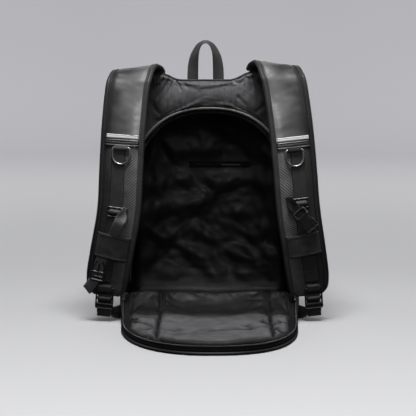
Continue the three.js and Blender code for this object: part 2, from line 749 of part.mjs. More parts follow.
// The slider that the chest strap hangs on: two slots for the strap's webbing and an eye on its inner end.
function addSternumSlider(side) {
  const { sliderZ, sliderAcross } = sternum[side];
  const { halfWide, halfTall, thick, slotHalfWide, slotHalfTall, eye } = slider;
  const group = onStrap(side, sliderZ, sliderAcross, webbingTop + gap + thick / 2);
  const slots = slider.slots.map((y) => {
    return boxCorners(-slotHalfWide, y - slotHalfTall, slotHalfWide, y + slotHalfTall);
  });
  const body = plate(cutRectangle(halfWide, halfTall, 2), slots, thick);
  const eyeHole = [eye.halfWide - eye.rail, eye.halfTall - eye.rail];
  const eyePlate = plate(
    cutRectangle(eye.halfWide, eye.halfTall, 1.5),
    [boxCorners(-eyeHole[0], -eyeHole[1], ...eyeHole)],
    thick,
  );
  eyePlate.translate(-sides[side].sign * eye.aside, eye.up, 0);
  const joined = toSolid(body).add(toSolid(eyePlate));
  addPiece(`sternum_slider_${side}`, toGeometry(joined), "plastic", group);
}

// The chest strap's webbing lies on the strap's face, from the slider's eye towards its buckle.
function addSternumWebbing(side) {
  const { webbing } = sternum[side];
  const rowAt = (t, name) => spline(webbing.map((row) => row[name]), t);
  const path = [];
  const outs = [];
  for (const t of spread(0, webbing.length - 1, 3 * (webbing.length - 1))) {
    const section = strapAt(side, rowAt(t, "z"));
    const v = rowAt(t, "across") / section.half;
    path.push(onSection(section, v, webbingTop + gap + webbingThick / 2 + rowAt(t, "over")));
    outs.push(section.out);
  }
  const across = path.map((_, i) => {
    const ahead = path[Math.min(i + 1, path.length - 1)].clone().sub(path[Math.max(i - 1, 0)]);
    return point(0, 0, 0).crossVectors(ahead, outs[i]);
  });
  addPiece(`sternum_webbing_${side}`, ribbon(path, across, sternumHalf, webbingThick), "webbing");
}

// Half of the side-release buckle with the prongs: Y runs from the ladder bars to the tips.
function prongHalf() {
  const outline = mirrorCorners([
    [13, -22],
    [13, -4],
    [11.5, -2],
    [12.5, 4],
    [12.5, 10],
    [8.5, 17],
    [7, 16],
    [8.5, 8],
    [8, -1],
    [2.2, -1],
    [2.2, 19],
  ]);
  const bars = [boxCorners(-10, -19, 10, -15), boxCorners(-10, -11, 10, -6.5)];
  return plate(outline, bars, prongThick);
}

// Half of the buckle with the socket: Y runs from the ladder bar to the mouth.
function socketHalf() {
  const outline = mirrorCorners([
    [12, -22],
    [12.5, -8],
    [9.5, -3],
    [9.5, 4],
    [13, 9],
    [13.5, 22],
  ]);
  const body = plate(outline, [boxCorners(-10, -19, 10, -14)], socket.thick);
  const mouth = new THREE.BoxGeometry(socket.mouthWide, socket.mouthDeep, socket.mouthTall);
  mouth.translate(0, 23 - socket.mouthDeep / 2, 0);
  return toGeometry(toSolid(body).subtract(toSolid(mouth)));
}

function addBuckle(side, name, geometry, thick) {
  const { buckleZ, buckleAcross, buckleTurn, buckleLift } = sternum[side];
  const lift = webbingTop + webbingThick + 3 * gap + thick / 2 + buckleLift;
  const group = onStrap(side, buckleZ, buckleAcross, lift);
  group.rotateZ(degToRad(-sides[side].sign * buckleTurn));
  addPiece(name, geometry, "plastic", group);
}

// The ladder lock hangs below the strap's end, which a tab of webbing joins to its upper bar. The lower
// webbing goes round its lower bar and back to the bag's corner.
function addLadderLock(side) {
  const { sign } = sides[side];
  const { z, lift, [side]: aside } = lock.hangsFrom;
  const group = onStrap(side, z, aside, lock.thick / 2 + lift);
  group.translateY(-lock.drop);
  group.updateMatrix();
  const halfSlot = lock.wide / 2 - lock.rail;
  const upper = boxCorners(-halfSlot, 6, halfSlot, lock.tall / 2 - lock.bar);
  const lower = boxCorners(-halfSlot, lock.bar + 1 - lock.tall / 2, halfSlot, -2);
  const body = plate(cutRectangle(lock.wide / 2, lock.tall / 2, 3), [upper, lower], lock.thick);
  addPiece(`ladder_lock_${side}`, body, "plastic", group);
  const radius = lock.thick / 2 + gap + 0.2 + webbingThick / 2;
  const tab = hairpin({
    bendY: lock.tall / 2 - lock.bar - gap, bendZ: 0, radius, opens: 1, backEnd: 25, frontEnd: 26,
  });
  addPiece(`ladder_tab_${side}`, ribbon(tab, alongX(tab), lock.tabHalf, webbingThick), "webbing", group);
  const round = hairpin({
    bendY: lock.bar + 1 - lock.tall / 2 + gap, bendZ: 0, radius, opens: -1, backEnd: -26, frontEnd: -34,
  });
  const path = [point(0, -34, -8), ...round].map((p) => p.applyMatrix4(group.matrix));
  const across = point(sign, 0, 0).transformDirection(group.matrix);
  const upright = point(0, 0, 1);
  const lead = [point(sign * 164.5, -112.5, 14.2), point(sign * 173, -123, 13)];
  const widths = lead.map((_, i) => upright.clone().lerp(across, i / lead.length));
  const web = ribbon([...lead, ...path], [...widths, ...path.map(() => across)], lock.tabHalf, webbingThick);
  addPiece(`lower_webbing_${side}`, web, "webbing");
}

function addHandle() {
  const at = (name, t) => spline(handleSections.map((section) => section[name]), t);
  const stops = spread(0, handleSections.length - 1, 2 * handleSections.length - 2);
  const path = stops.map((t) => point(at("x", t), handle.y, at("z", t)));
  const across = stops.map((t) => {
    const turn = degToRad(at("turn", t));
    return point(Math.cos(turn), Math.sin(turn), 0);
  });
  addPiece("handle", ribbon(path, across, handle.half, handle.thick), "webbing");
}

// A zip slider rides on each end of the flap's zip, with its pull lying along it.
function addZipSlider(side) {
  const { sign } = sides[side];
  const group = new THREE.Group();
  const edge = flapEdge(gap + 0.9, flap.zipTop);
  const along = sign < 0 ? edge : edge.reverse();
  group.position.copy(along[1]);
  const ahead = along[2].clone().sub(along[0]);
  group.rotation.x = -Math.atan2(ahead.z, -ahead.y);
  const seat = 1.2;
  const body = plate(cutRectangle(4.5, 6, 1.5), [], 3).translate(0, 0, seat + 1.5);
  const pull = plate(cutRectangle(3, 10, 1.5), [boxCorners(-1.4, -8, 1.4, -4)], 1.4);
  pull.translate(0, -11, seat + 3.2);
  addPiece(`zip_slider_${side}`, toGeometry(toSolid(body).add(toSolid(pull))), "gunmetal", group);
  pack.add(group);
}

addGussetAndBase();
addOuterPanel();
addLining();
addBackPanel();
addOpeningTrim();
addFlap();
addFlapTrim();
addHandle();
for (const side of ["left", "right"]) {
  addStrap(side);
  addStrapBands(side);
  addRing(side);
  addStrapWebbing(side);
  addKeeper(side);
  addSternumSlider(side);
  addSternumWebbing(side);
  addLadderLock(side);
  addZipSlider(side);
}
addBuckle("left", "buckle_prongs", prongHalf(), prongThick);
addBuckle("right", "buckle_socket", socketHalf(), socket.thick);

export default pack;
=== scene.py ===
import math
import bmesh
import bpy
from mathutils import Matrix, Vector, noise
from mathutils.bvhtree import BVHTree


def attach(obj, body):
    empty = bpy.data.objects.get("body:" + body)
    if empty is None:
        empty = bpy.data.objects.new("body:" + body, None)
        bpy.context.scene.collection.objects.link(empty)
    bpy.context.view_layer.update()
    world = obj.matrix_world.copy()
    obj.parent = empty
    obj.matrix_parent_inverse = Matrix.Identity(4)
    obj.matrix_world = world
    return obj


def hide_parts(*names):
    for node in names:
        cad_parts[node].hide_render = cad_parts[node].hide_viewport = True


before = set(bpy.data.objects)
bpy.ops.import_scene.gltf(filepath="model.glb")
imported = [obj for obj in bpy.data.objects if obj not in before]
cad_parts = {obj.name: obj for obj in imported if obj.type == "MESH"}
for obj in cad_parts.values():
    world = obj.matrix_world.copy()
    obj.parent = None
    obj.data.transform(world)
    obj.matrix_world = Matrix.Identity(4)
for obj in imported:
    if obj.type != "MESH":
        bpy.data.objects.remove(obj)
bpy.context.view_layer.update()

# A waterproof backpack standing open, its back unzipped and folded down as a flap.
# Shapes are worked out in millimetres and turned to metres when a mesh is made.
# Left is -X, as the camera sees it.
scene = bpy.context.scene
mm = 0.001
print("frame loaded,", len(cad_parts), "nodes")

photo = {"eye": (-0.0028, -2.910, 0.515), "pitch": 6.28, "focal": 1520, "frame": 416, "sensor": 36}
camera = bpy.data.objects.new("photo_camera", bpy.data.cameras.new("photo_camera"))
camera.data.sensor_width = photo["sensor"]
camera.data.lens = photo["focal"] / photo["frame"] * photo["sensor"]
camera.location = photo["eye"]
camera.rotation_euler = (math.radians(90 - photo["pitch"]), 0, 0)
scene.collection.objects.link(camera)
scene.camera = camera


def linear(hexColour):
    parts = [int(hexColour[i:i + 2], 16) / 255 for i in (1, 3, 5)]
    return tuple(c / 12.92 if c <= 0.04045 else ((c + 0.055) / 1.055) ** 2.4 for c in parts) + (1.0,)


def addNode(tree, kind, inputs=(), **settings):
    # one node with its settings; an input is a value or the socket that feeds it
    node = tree.nodes.new(kind)
    for name, value in settings.items():
        setattr(node, name, value)
    for key, value in dict(inputs).items():
        if isinstance(value, bpy.types.NodeSocket):
            tree.links.new(value, node.inputs[key])
        else:
            node.inputs[key].default_value = value
    return node


def lerp(a, b, f):
    return a + (b - a) * f


def smooth(value, low, high):
    # rises softly from 0 at low to 1 at high
    f = min(max((value - low) / (high - low), 0), 1)
    return f * f * (3 - 2 * f)


def smoothFrom(value, start, span):
    # the same, with both limits measured from a start
    return smooth(value, start + span[0], start + span[1])


def bump(value, middle, wide):
    return math.exp(-(((value - middle) / wide) ** 2))


def spread(low, high, count):
    return [lerp(low, high, k / count) for k in range(count + 1)]


def spline(values, t):
    i = min(int(t), len(values) - 2)
    f = t - i
    b, c = values[i], values[i + 1]
    a, d = values[max(i - 1, 0)], values[min(i + 2, len(values) - 1)]
    square = (2 * a - 5 * b + 4 * c - d) * f * f
    cube = (3 * b - a - 3 * c + d) * f ** 3
    return 0.5 * (2 * b + (c - a) * f + square + cube)


def wander(x, y, z=0.0, seed=0.0):
    # smooth noise from -1 to 1, one lump for each unit
    return noise.noise(Vector((x + seed * 7.31, y + seed * 3.17, z + seed * 1.93)))


def gridFaces(rows, columns, wrap=False, start=0, flip=False):
    faces = []
    for i in range(rows - 1):
        for j in range(columns if wrap else columns - 1):
            k = (j + 1) % columns
            face = [start + i * columns + j, start + i * columns + k,
                    start + (i + 1) * columns + k, start + (i + 1) * columns + j]
            faces.append(face[::-1] if flip else face)
    return faces


def makePiece(name, points, faces, materials, replaces=(), body="pack", uv=None, paint=None):
    # a mesh in the part's own frame; uv holds millimetres across and along, paint a material slot per face
    mesh = bpy.data.meshes.new(name)
    mesh.from_pydata([Vector(p) * mm for p in points], [], faces)
    materials = materials if isinstance(materials, list) else [materials]
    for material in materials:
        mesh.materials.append(material)
    if paint:
        mesh.polygons.foreach_set("material_index", paint)
    if uv:
        layer = mesh.uv_layers.new(name="cloth")
        for loop in mesh.loops:
            layer.data[loop.index].uv = uv[loop.vertex_index]
    mesh.polygons.foreach_set("use_smooth", [True] * len(mesh.polygons))
    mesh.update()
    piece = bpy.data.objects.new(name, mesh)
    scene.collection.objects.link(piece)
    return finishPiece(piece, replaces, body)


def finishPiece(piece, replaces=(), body="pack"):
    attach(piece, body)
    if replaces:
        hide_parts(*replaces)
    return piece


def outwards(piece):
    # faces of a closed mesh are turned to point out
    shape = bmesh.new()
    shape.from_mesh(piece.data)
    bmesh.ops.remove_doubles(shape, verts=shape.verts, dist=1e-6)
    bmesh.ops.recalc_face_normals(shape, faces=shape.faces)
    shape.to_mesh(piece.data)
    shape.free()
    return piece


def tubeFaces(rows, columns):
    # a skin of closed rows with both ends shut
    faces = gridFaces(rows, columns, wrap=True)
    faces.append(list(range(columns))[::-1])
    faces.append([(rows - 1) * columns + j for j in range(columns)])
    return faces


def loopFaces(rows, columns):
    # a skin of closed rows whose last row joins the first
    last = (rows - 1) * columns
    faces = gridFaces(rows, columns, wrap=True)
    return faces + [[last + j, last + (j + 1) % columns, (j + 1) % columns, j] for j in range(columns)]


def slabFaces(tall, wide):
    # two grids of points, one over the other, closed along their rim
    under = tall * wide
    rim = list(range(wide)) + [i * wide + wide - 1 for i in range(1, tall)]
    rim += [(tall - 1) * wide + j for j in range(wide - 2, -1, -1)]
    rim += [i * wide for i in range(tall - 2, 0, -1)]
    faces = gridFaces(tall, wide) + gridFaces(tall, wide, start=under, flip=True)
    return faces + [[a, under + a, under + b, b] for a, b in zip(rim, rim[1:] + rim[:1])]


def doubleSkin(rows, columns, flip=False, shut=True):
    # two skins of closed rows, one inside the other, joined at the first row and shut or joined at the last
    count = rows * columns
    last = count - columns
    faces = gridFaces(rows, columns, wrap=True, flip=flip)
    faces += gridFaces(rows, columns, wrap=True, start=count, flip=not flip)
    for row in (0,) if shut else (0, last):
        for j in range(columns):
            k = (j + 1) % columns
            faces.append([row + j, row + k, count + row + k, count + row + j])
    if shut:
        faces += [[last + j for j in range(columns)], [count + last + j for j in range(columns)][::-1]]
    return faces


def runningLength(path):
    lengths = [0.0]
    for a, b in zip(path, path[1:]):
        lengths.append(lengths[-1] + (Vector(b) - Vector(a)).length)
    return lengths


def tangents(path, closed=False):
    found = []
    for i in range(len(path)):
        before = path[i - 1] if closed or i else path[i]
        after = path[(i + 1) % len(path)] if closed or i + 1 < len(path) else path[i]
        found.append((Vector(after) - Vector(before)).normalized())
    return found


def sweep(path, across, profile, closed=False):
    # a profile of (sideways, outward) points carried along a path, sideways along the given directions
    points = []
    for middle, ahead, side in zip(path, tangents(path, closed), across):
        side = (Vector(side) - ahead * Vector(side).dot(ahead)).normalized()
        out = ahead.cross(side)
        points += [Vector(middle) + side * s + out * o for s, o in profile]
    return points


def ribbonProfile(half, thick):
    # webbing's section: flat faces and rounded selvedges
    top = []
    for v in spread(-1, 1, 8):
        edge = 1 - smooth(abs(v), 0.86, 1) * 0.55
        top.append((v * half, thick / 2 * edge))
    return top + [(s, -o) for s, o in reversed(top)]


def makeRibbon(name, path, across, half, thick, material, replaces=()):
    profile = ribbonProfile(half, thick)
    points = sweep(path, across, profile)
    uv = [(s, length) for length in runningLength(path) for s, o in profile]
    faces = tubeFaces(len(path), len(profile))
    return outwards(makePiece(name, points, faces, material, replaces, uv=uv))


def smoothPath(points, count, closed=False):
    # a finer run through given points
    points = [Vector(p) for p in points]
    if closed:
        ring = [points[-1]] + points + points[:2]
        stops = [1 + k * len(points) / count for k in range(count)]
    else:
        ring = points
        stops = spread(0, len(points) - 1, count)
    return [spline(ring, t) for t in stops]


def refineGrid(points, rows, columns, acrossTimes, alongTimes):
    # a finer grid through a ring-wise grid of points, each cell cut into several both ways
    rings = [points[i * columns:(i + 1) * columns] for i in range(rows)]
    wide, tall = columns * acrossTimes, (rows - 1) * alongTimes
    rings = [smoothPath(ring, wide, closed=True) for ring in rings]
    lines = [smoothPath([ring[j] for ring in rings], tall) for j in range(wide)]
    return [line[i] for i in range(tall + 1) for line in lines]


def roundProfile(radius, around):
    turns = [2 * math.pi * k / around for k in range(around)]
    return [(radius * math.cos(turn), radius * math.sin(turn)) for turn in turns]


def startMaterial(name, colour, roughness, sockets=()):
    material = bpy.data.materials.new(name)
    material.use_nodes = True
    tree = material.node_tree
    tree.nodes.clear()
    inputs = {"Base Color": linear(colour), "Roughness": roughness, **dict(sockets)}
    shader = addNode(tree, "ShaderNodeBsdfPrincipled", inputs)
    addNode(tree, "ShaderNodeOutputMaterial", {"Surface": shader.outputs[0]})
    return material, tree, shader


def bandScale(period):
    # a wave texture's scale for bands that are this far apart, in the units of its coordinates
    return math.pi / 10 / period


def paintLightAndShade(tree, colour, paintedLight):
    # light and shade painted across the cloth: the list gives places across it, in millimetres, with the
    # share of its tone at each
    across = addNode(tree, "ShaderNodeSeparateXYZ", {0: addNode(tree, "ShaderNodeTexCoord").outputs["UV"]})
    first, last = paintedLight[0][0], paintedLight[-1][0]
    place = addNode(tree, "ShaderNodeMapRange",
                    {"Value": across.outputs["X"], "From Min": first, "From Max": last})
    ramp = addNode(tree, "ShaderNodeValToRGB", {"Fac": place.outputs[0]})
    stops = ramp.color_ramp.elements
    for k, (at, share) in enumerate(paintedLight):
        if k == 0:
            stop = stops[0]
        elif k == len(paintedLight) - 1:
            stop = stops[-1]
        else:
            stop = stops.new((at - first) / (last - first))
        stop.color = (share, share, share, 1)
    toneDrift = addNode(tree, "ShaderNodeVectorMath", {0: colour, 1: ramp.outputs["Color"]}, operation="MULTIPLY")
    return toneDrift.outputs[0]


def wovenCloth(name, colour, shade, roughness, rib, pick=0, turn=0, depth=0.3, sockets=(), paintedLight=None,
               patch=22):
    # threads follow the piece's own millimetres: rib is the spacing across, pick the spacing along, and
    # patch the size of the uneven places
    material, tree, shader = startMaterial(name, colour, roughness, sockets)
    coords = addNode(tree, "ShaderNodeTexCoord")
    laid = addNode(tree, "ShaderNodeMapping",
                   {"Vector": coords.outputs["UV"], "Rotation": (0, 0, math.radians(turn))})
    threads = {"Vector": laid.outputs[0], "Distortion": 0.5, "Detail": 1.0}
    ribs = addNode(tree, "ShaderNodeTexWave", {**threads, "Scale": bandScale(rib)}, bands_direction="X")
    height = ribs.outputs["Fac"]
    if pick:
        picks = addNode(tree, "ShaderNodeTexWave", {**threads, "Scale": bandScale(pick)}, bands_direction="Y")
        crossed = addNode(tree, "ShaderNodeMix", {"Factor": 0.5, "A": height, "B": picks.outputs["Fac"]})
        height = crossed.outputs[0]
    toneDrift = addNode(tree, "ShaderNodeTexNoise",
                   {"Vector": coords.outputs["Object"], "Scale": 1 / (patch * mm), "Detail": 3.0})
    uneven = addNode(tree, "ShaderNodeMath", {0: height, 1: toneDrift.outputs["Fac"]}, operation="MULTIPLY")
    tone = addNode(tree, "ShaderNodeMix",
                   {"Factor": uneven.outputs[0], "A": linear(shade), "B": linear(colour)}, data_type="RGBA")
    toned = paintLightAndShade(tree, tone.outputs["Result"], paintedLight) if paintedLight else tone.outputs["Result"]
    tree.links.new(toned, shader.inputs["Base Color"])
    relief = addNode(tree, "ShaderNodeBump", {"Height": height, "Strength": 0.8, "Distance": depth * mm})
    tree.links.new(relief.outputs[0], shader.inputs["Normal"])
    return material


def coatedCloth(name, colour, shade, roughness, grain, lump, depth=0.2, sockets=(), paintedLight=None):
    # a closed, coated face: fine grain over soft lumps, both in millimetres, and a gloss that wanders
    material, tree, shader = startMaterial(name, colour, roughness, sockets)
    coords = addNode(tree, "ShaderNodeTexCoord")
    lumps = addNode(tree, "ShaderNodeTexNoise",
                    {"Vector": coords.outputs["Object"], "Scale": 1 / (lump * mm), "Detail": 4.0,
                     "Roughness": 0.55})
    cells = addNode(tree, "ShaderNodeTexVoronoi",
                    {"Vector": coords.outputs["Object"], "Scale": 1 / (grain * mm)}, feature="SMOOTH_F1")
    tone = addNode(tree, "ShaderNodeMix",
                   {"Factor": lumps.outputs["Fac"], "A": linear(shade), "B": linear(colour)},
                   data_type="RGBA")
    toned = paintLightAndShade(tree, tone.outputs["Result"], paintedLight) if paintedLight else tone.outputs["Result"]
    tree.links.new(toned, shader.inputs["Base Color"])
    gloss = addNode(tree, "ShaderNodeMapRange",
                    {"Value": lumps.outputs["Fac"], "From Min": 0.3, "From Max": 0.7,
                     "To Min": roughness - 0.06, "To Max": roughness + 0.07})
    tree.links.new(gloss.outputs[0], shader.inputs["Roughness"])
    soft = addNode(tree, "ShaderNodeBump",
                   {"Height": lumps.outputs["Fac"], "Strength": 0.35, "Distance": 6 * depth * mm})
    fine = addNode(tree, "ShaderNodeBump",
                   {"Height": cells.outputs["Distance"], "Strength": 0.5, "Distance": depth * mm,
                    "Normal": soft.outputs[0]})
    tree.links.new(fine.outputs[0], shader.inputs["Normal"])
    return material


# what a smooth, closely made cloth gives the eye
softSheen = {"Specular IOR Level": 0.4, "Sheen Weight": 0.06, "Sheen Roughness": 0.4}
# Polyurethane-coated nylon, calendered: satin black, painted lighter in the middle, with painted shade beside
# the straps and towards the bottom
coatedNylon = coatedCloth("coated nylon", "#4b4b4d", "#303032", 0.58, 2.6, 16, 0.12, softSheen,
                          ((62, 1), (98, 0.22)))
# Laminated polyester for the shell: duller than the yoke, with a faint pebble that keeps water out
laminatedPolyester = coatedCloth("laminated polyester", "#26272a", "#1d1e20", 0.52, 2.4, 30, 0.2,
                                 {"Specular IOR Level": 0.4, "Sheen Weight": 0.1, "Sheen Roughness": 0.5})
# Leatherette, polyurethane on a knit: fine pebbles and the broad soft sheen of the upper straps
# painted highlight towards each strap's inner edge, painted shade towards its outer edge
leatherette = coatedCloth("leatherette", "#747475", "#4e4e4f", 0.5, 2.2, 26, 0.16,
                          {"Specular IOR Level": 0.4, "Sheen Weight": 0.06, "Sheen Roughness": 0.35},
                          ((-30, 1.2), (-27, 1.6), (-22, 1.6), (-18, 1.1), (-13, 0.76), (-1, 0.5), (8, 0.4),
                           (17, 0.24), (26, 0.09)))
# Hem cloth: the coated nylon turned over a cord, dark in its folds
hemCloth = coatedCloth("rolled hem", "#222223", "#101011", 0.38, 2.2, 12, 0.14,
                       {"Specular IOR Level": 0.58})
# Polyester taffeta, calendered: a thin glossy black lining that crumples
taffeta = coatedCloth("polyester taffeta", "#101011", "#080809", 0.46, 2.0, 14, 0.1,
                      {"Specular IOR Level": 0.28})
# The same cloth quilted on the flap, its gloss turned low and painted into a lighter grey where it lies flat,
# with painted shade in its seams and folds and near the hinge
quiltTaffeta = coatedCloth("quilted taffeta", "#565658", "#373738", 0.52, 2.0, 18, 0.1,
                           {"Specular IOR Level": 0.12}, ((0.5, 0.05), (4, 0.25), (11, 1)))
# Flap cloth, the same laminate left dull, painted nearly black for the shade between the quilt and the zip
flapCloth = coatedCloth("dull laminate", "#111112", "#0a0a0b", 0.75, 2.4, 22, 0.15,
                        {"Specular IOR Level": 0.12})
# Acetal, injection moulded: black with a soft gloss and a fine eroded texture
acetal = coatedCloth("moulded acetal", "#1c1c1d", "#121213", 0.27, 1.2, 9, 0.05,
                     {"Specular IOR Level": 0.5})
# Polyester twill: diagonal ribs 3.5 mm apart, as wide as they show on the straps
# painted shade grows from each strap's inner edge towards its outer edge
twill = wovenCloth("polyester twill", "#8a8a8b", "#343436", 0.6, 3.5, turn=52, depth=0.5,
                   sockets={"Specular IOR Level": 0.35, "Sheen Weight": 0.12, "Sheen Roughness": 0.4},
                   paintedLight=((-28, 1), (-12, 0.85), (4, 0.5), (28, 0.1)))
# Grosgrain binding: ribs across the tape, drawn 2.4 mm apart so that they show
# painted light and shade: the inner binding is kept lighter, the outer painted darker
grosgrain = wovenCloth("grosgrain binding", "#464647", "#1e1e1f", 0.48, 40, 2.4, depth=0.3,
                       sockets={"Specular IOR Level": 0.24}, paintedLight=((-50, 1), (65, 0.3)))
# Woven polyester webbing: ribs along it, with the picks drawn coarser than life so that they show
webbingCloth = wovenCloth("polyester webbing", "#323233", "#141414", 0.55, 3.0, 2.0, depth=0.4,
                          sockets=softSheen)
# The same webbing painted lighter for the light that falls on the left ring's loop and the left chest webbing
litWebbing = wovenCloth("lit webbing", "#7e7e7f", "#404041", 0.5, 3.0, 2.0, depth=0.4,
                           sockets=softSheen)
# Elastic webbing: closer and duller, with fine ribs along its stretch
elasticCloth = wovenCloth("elastic webbing", "#3c3c3d", "#232323", 0.7, 2.2, 1.8, depth=0.25,
                          sockets={"Specular IOR Level": 0.3})
# Spacer mesh on the back of the straps: small open cells that look matt
spacerMesh = wovenCloth("spacer mesh", "#2a2a2b", "#101011", 0.85, 3.4, 3.4, turn=45, depth=0.8,
                        sockets={"Specular IOR Level": 0.25})
# Zip tape, woven polyester: flat, finely ribbed and nearly black
zipTape = wovenCloth("zip tape", "#0a0a0b", "#050506", 0.75, 1.6, 2.2, depth=0.2,
                     sockets={"Specular IOR Level": 0.2})
# Nylon zip coil: a shiny spiral that catches a thin line of light
nylonCoil = coatedCloth("nylon coil", "#1c1c1d", "#101011", 0.32, 1.0, 6, 0.03,
                        {"Specular IOR Level": 0.55})
# Grey piping: a corded bias strip with a satin twist
greyPiping = wovenCloth("grey corded piping", "#6c6c6a", "#444442", 0.5, 60, 2.6, turn=8, depth=0.2,
                        sockets={"Specular IOR Level": 0.4, "Sheen Weight": 0.2})
# Dark piping round the flap, the coated nylon rolled over a cord
darkPiping = wovenCloth("dark corded piping", "#141415", "#0a0a0b", 0.5, 60, 3.0, turn=8, depth=0.15,
                        sockets={"Specular IOR Level": 0.25})
# Retro-reflective tape: pale grey glass beads under a thin film, pressed in a fine lattice
retroTape = wovenCloth("reflective tape", "#e2e2e0", "#c2c2c0", 0.4, 3.0, 3.0, turn=45, depth=0.08,
                       sockets={"Specular IOR Level": 0.5})
# Bonded polyester thread, a shade lighter than the cloth where it catches the light
thread = coatedCloth("bonded thread", "#3b3b3c", "#2b2b2c", 0.5, 0.8, 4, 0.04,
                     {"Specular IOR Level": 0.4})
# Zinc alloy, cast and plated dark: a neutral grey metal, polished by wear
gunmetal = coatedCloth("dark plated zinc", "#929293", "#747475", 0.33, 3.0, 10, 0.02, {"Metallic": 1.0})
print("materials made")

# The studio: a pale bowl, so that the ground has no edge from any side, and soft boxes above and beside
studio = {
    "flatRadius": 4.0, "bend": 3.2, "bendSteps": 16, "wall": 3.0, "around": 64,
    "floorTone": "#a5a5a7", "wallTone": "#c8c8cc", "fade": (1.2, 5.5),
    "airTone": "#e4e6ec", "airStrength": 0.06,
    "boxes": [  # name, place, aim, size, watts
        ("key_box", (0.0, -1.1, 2.42), (0, -0.15, 0.2), (1.0, 0.8), 98),
        ("front_box", (0.0, -2.9, 1.15), (0, -0.1, 0.2), (1.2, 0.8), 14),
        ("left_box", (-2.0, -0.9, 1.5), (0, -0.1, 0.25), (0.25, 1.4), 2.5),
        ("right_box", (2.0, -0.9, 1.5), (0, -0.1, 0.25), (0.25, 1.4), 6),
        ("left_rear_box", (-2.1, 0.8, 1.3), (0, 0, 0.25), (0.8, 1.2), 11),
        ("right_rear_box", (2.1, 0.8, 1.3), (0, 0, 0.25), (0.8, 1.2), 11),
        ("back_box", (0.0, 2.3, 1.9), (0, 0, 0.25), (1.6, 0.8), 11),
    ],
    "wash": {"count": 4, "radius": 1.6, "height": 3.4, "aimRadius": 6.2, "aimHeight": 1.9, "size": (2.4, 0.7),
             "watts": 188},
}


def makePaper():
    # Matt studio paper, without gloss: greyer where the boxes light it, paler up the wall
    paper, tree, shader = startMaterial("studio paper", studio["floorTone"], 0.9, {"Specular IOR Level": 0.1})
    coords = addNode(tree, "ShaderNodeTexCoord")
    flat = addNode(tree, "ShaderNodeVectorMath", {0: coords.outputs["Object"], 1: (1, 1, 0)},
                   operation="MULTIPLY")
    away = addNode(tree, "ShaderNodeVectorMath", {0: flat.outputs[0]}, operation="LENGTH")
    near, far = studio["fade"]
    fade = addNode(tree, "ShaderNodeMapRange",
                   {"Value": away.outputs["Value"], "From Min": near, "From Max": far},
                   interpolation_type="SMOOTHSTEP")
    tone = addNode(tree, "ShaderNodeMix", {"Factor": fade.outputs[0], "A": linear(studio["floorTone"]),
                                           "B": linear(studio["wallTone"])}, data_type="RGBA")
    tree.links.new(tone.outputs["Result"], shader.inputs["Base Color"])
    return paper


def makeBowl():
    flat, bend = studio["flatRadius"], studio["bend"]
    profile = [(0.0, 0.0), (flat, 0.0)]
    for turn in spread(0, 90, studio["bendSteps"])[1:]:
        a = math.radians(turn)
        profile.append((flat + bend * math.sin(a), bend * (1 - math.cos(a))))
    profile.append((profile[-1][0], profile[-1][1] + studio["wall"]))
    around = studio["around"]
    points = [(0, 0, 0)]
    for radius, z in profile[1:]:
        for k in range(around):
            a = 2 * math.pi * k / around
            points.append((radius * math.cos(a), radius * math.sin(a), z))
    faces = [[0, 1 + k, 1 + (k + 1) % around] for k in range(around)]
    faces += gridFaces(len(profile) - 1, around, wrap=True, start=1, flip=True)
    mesh = bpy.data.meshes.new("studio_floor")
    mesh.from_pydata(points, [], faces)
    mesh.polygons.foreach_set("use_smooth", [True] * len(mesh.polygons))
    mesh.materials.append(makePaper())
    floor = bpy.data.objects.new("studio_floor", mesh)
    scene.collection.objects.link(floor)
    # the paper takes light and shadow but throws little back, as in a room with dark walls behind the camera
    floor.visible_diffuse = False
    floor.visible_glossy = False


def makeBoxes():
    boxes = list(studio["boxes"])
    wash = studio["wash"]
    for k in range(wash["count"]):
        a = 2 * math.pi * k / wash["count"]
        at = (wash["radius"] * math.cos(a), wash["radius"] * math.sin(a), wash["height"])
        aim = (wash["aimRadius"] * math.cos(a), wash["aimRadius"] * math.sin(a), wash["aimHeight"])
        boxes.append((f"wall_box_{k}", at, aim, wash["size"], wash["watts"]))
    for name, at, aim, size, watts in boxes:
        lamp = bpy.data.lights.new(name, "AREA")
        lamp.shape = "RECTANGLE"
        lamp.size, lamp.size_y = size
        lamp.energy = watts
        light = bpy.data.objects.new(name, lamp)
        light.location = at
        light.rotation_euler = (Vector(aim) - Vector(at)).to_track_quat("-Z", "Y").to_euler()
        scene.collection.objects.link(light)


def makeAir():
    world = bpy.data.worlds.new("studio air")
    world.use_nodes = True
    air = world.node_tree.nodes["Background"]
    air.inputs["Color"].default_value = linear(studio["airTone"])
    air.inputs["Strength"].default_value = studio["airStrength"]
    scene.world = world
    scene.view_settings.view_transform = "Standard"


makeBowl()
makeBoxes()
makeAir()
print("studio set")

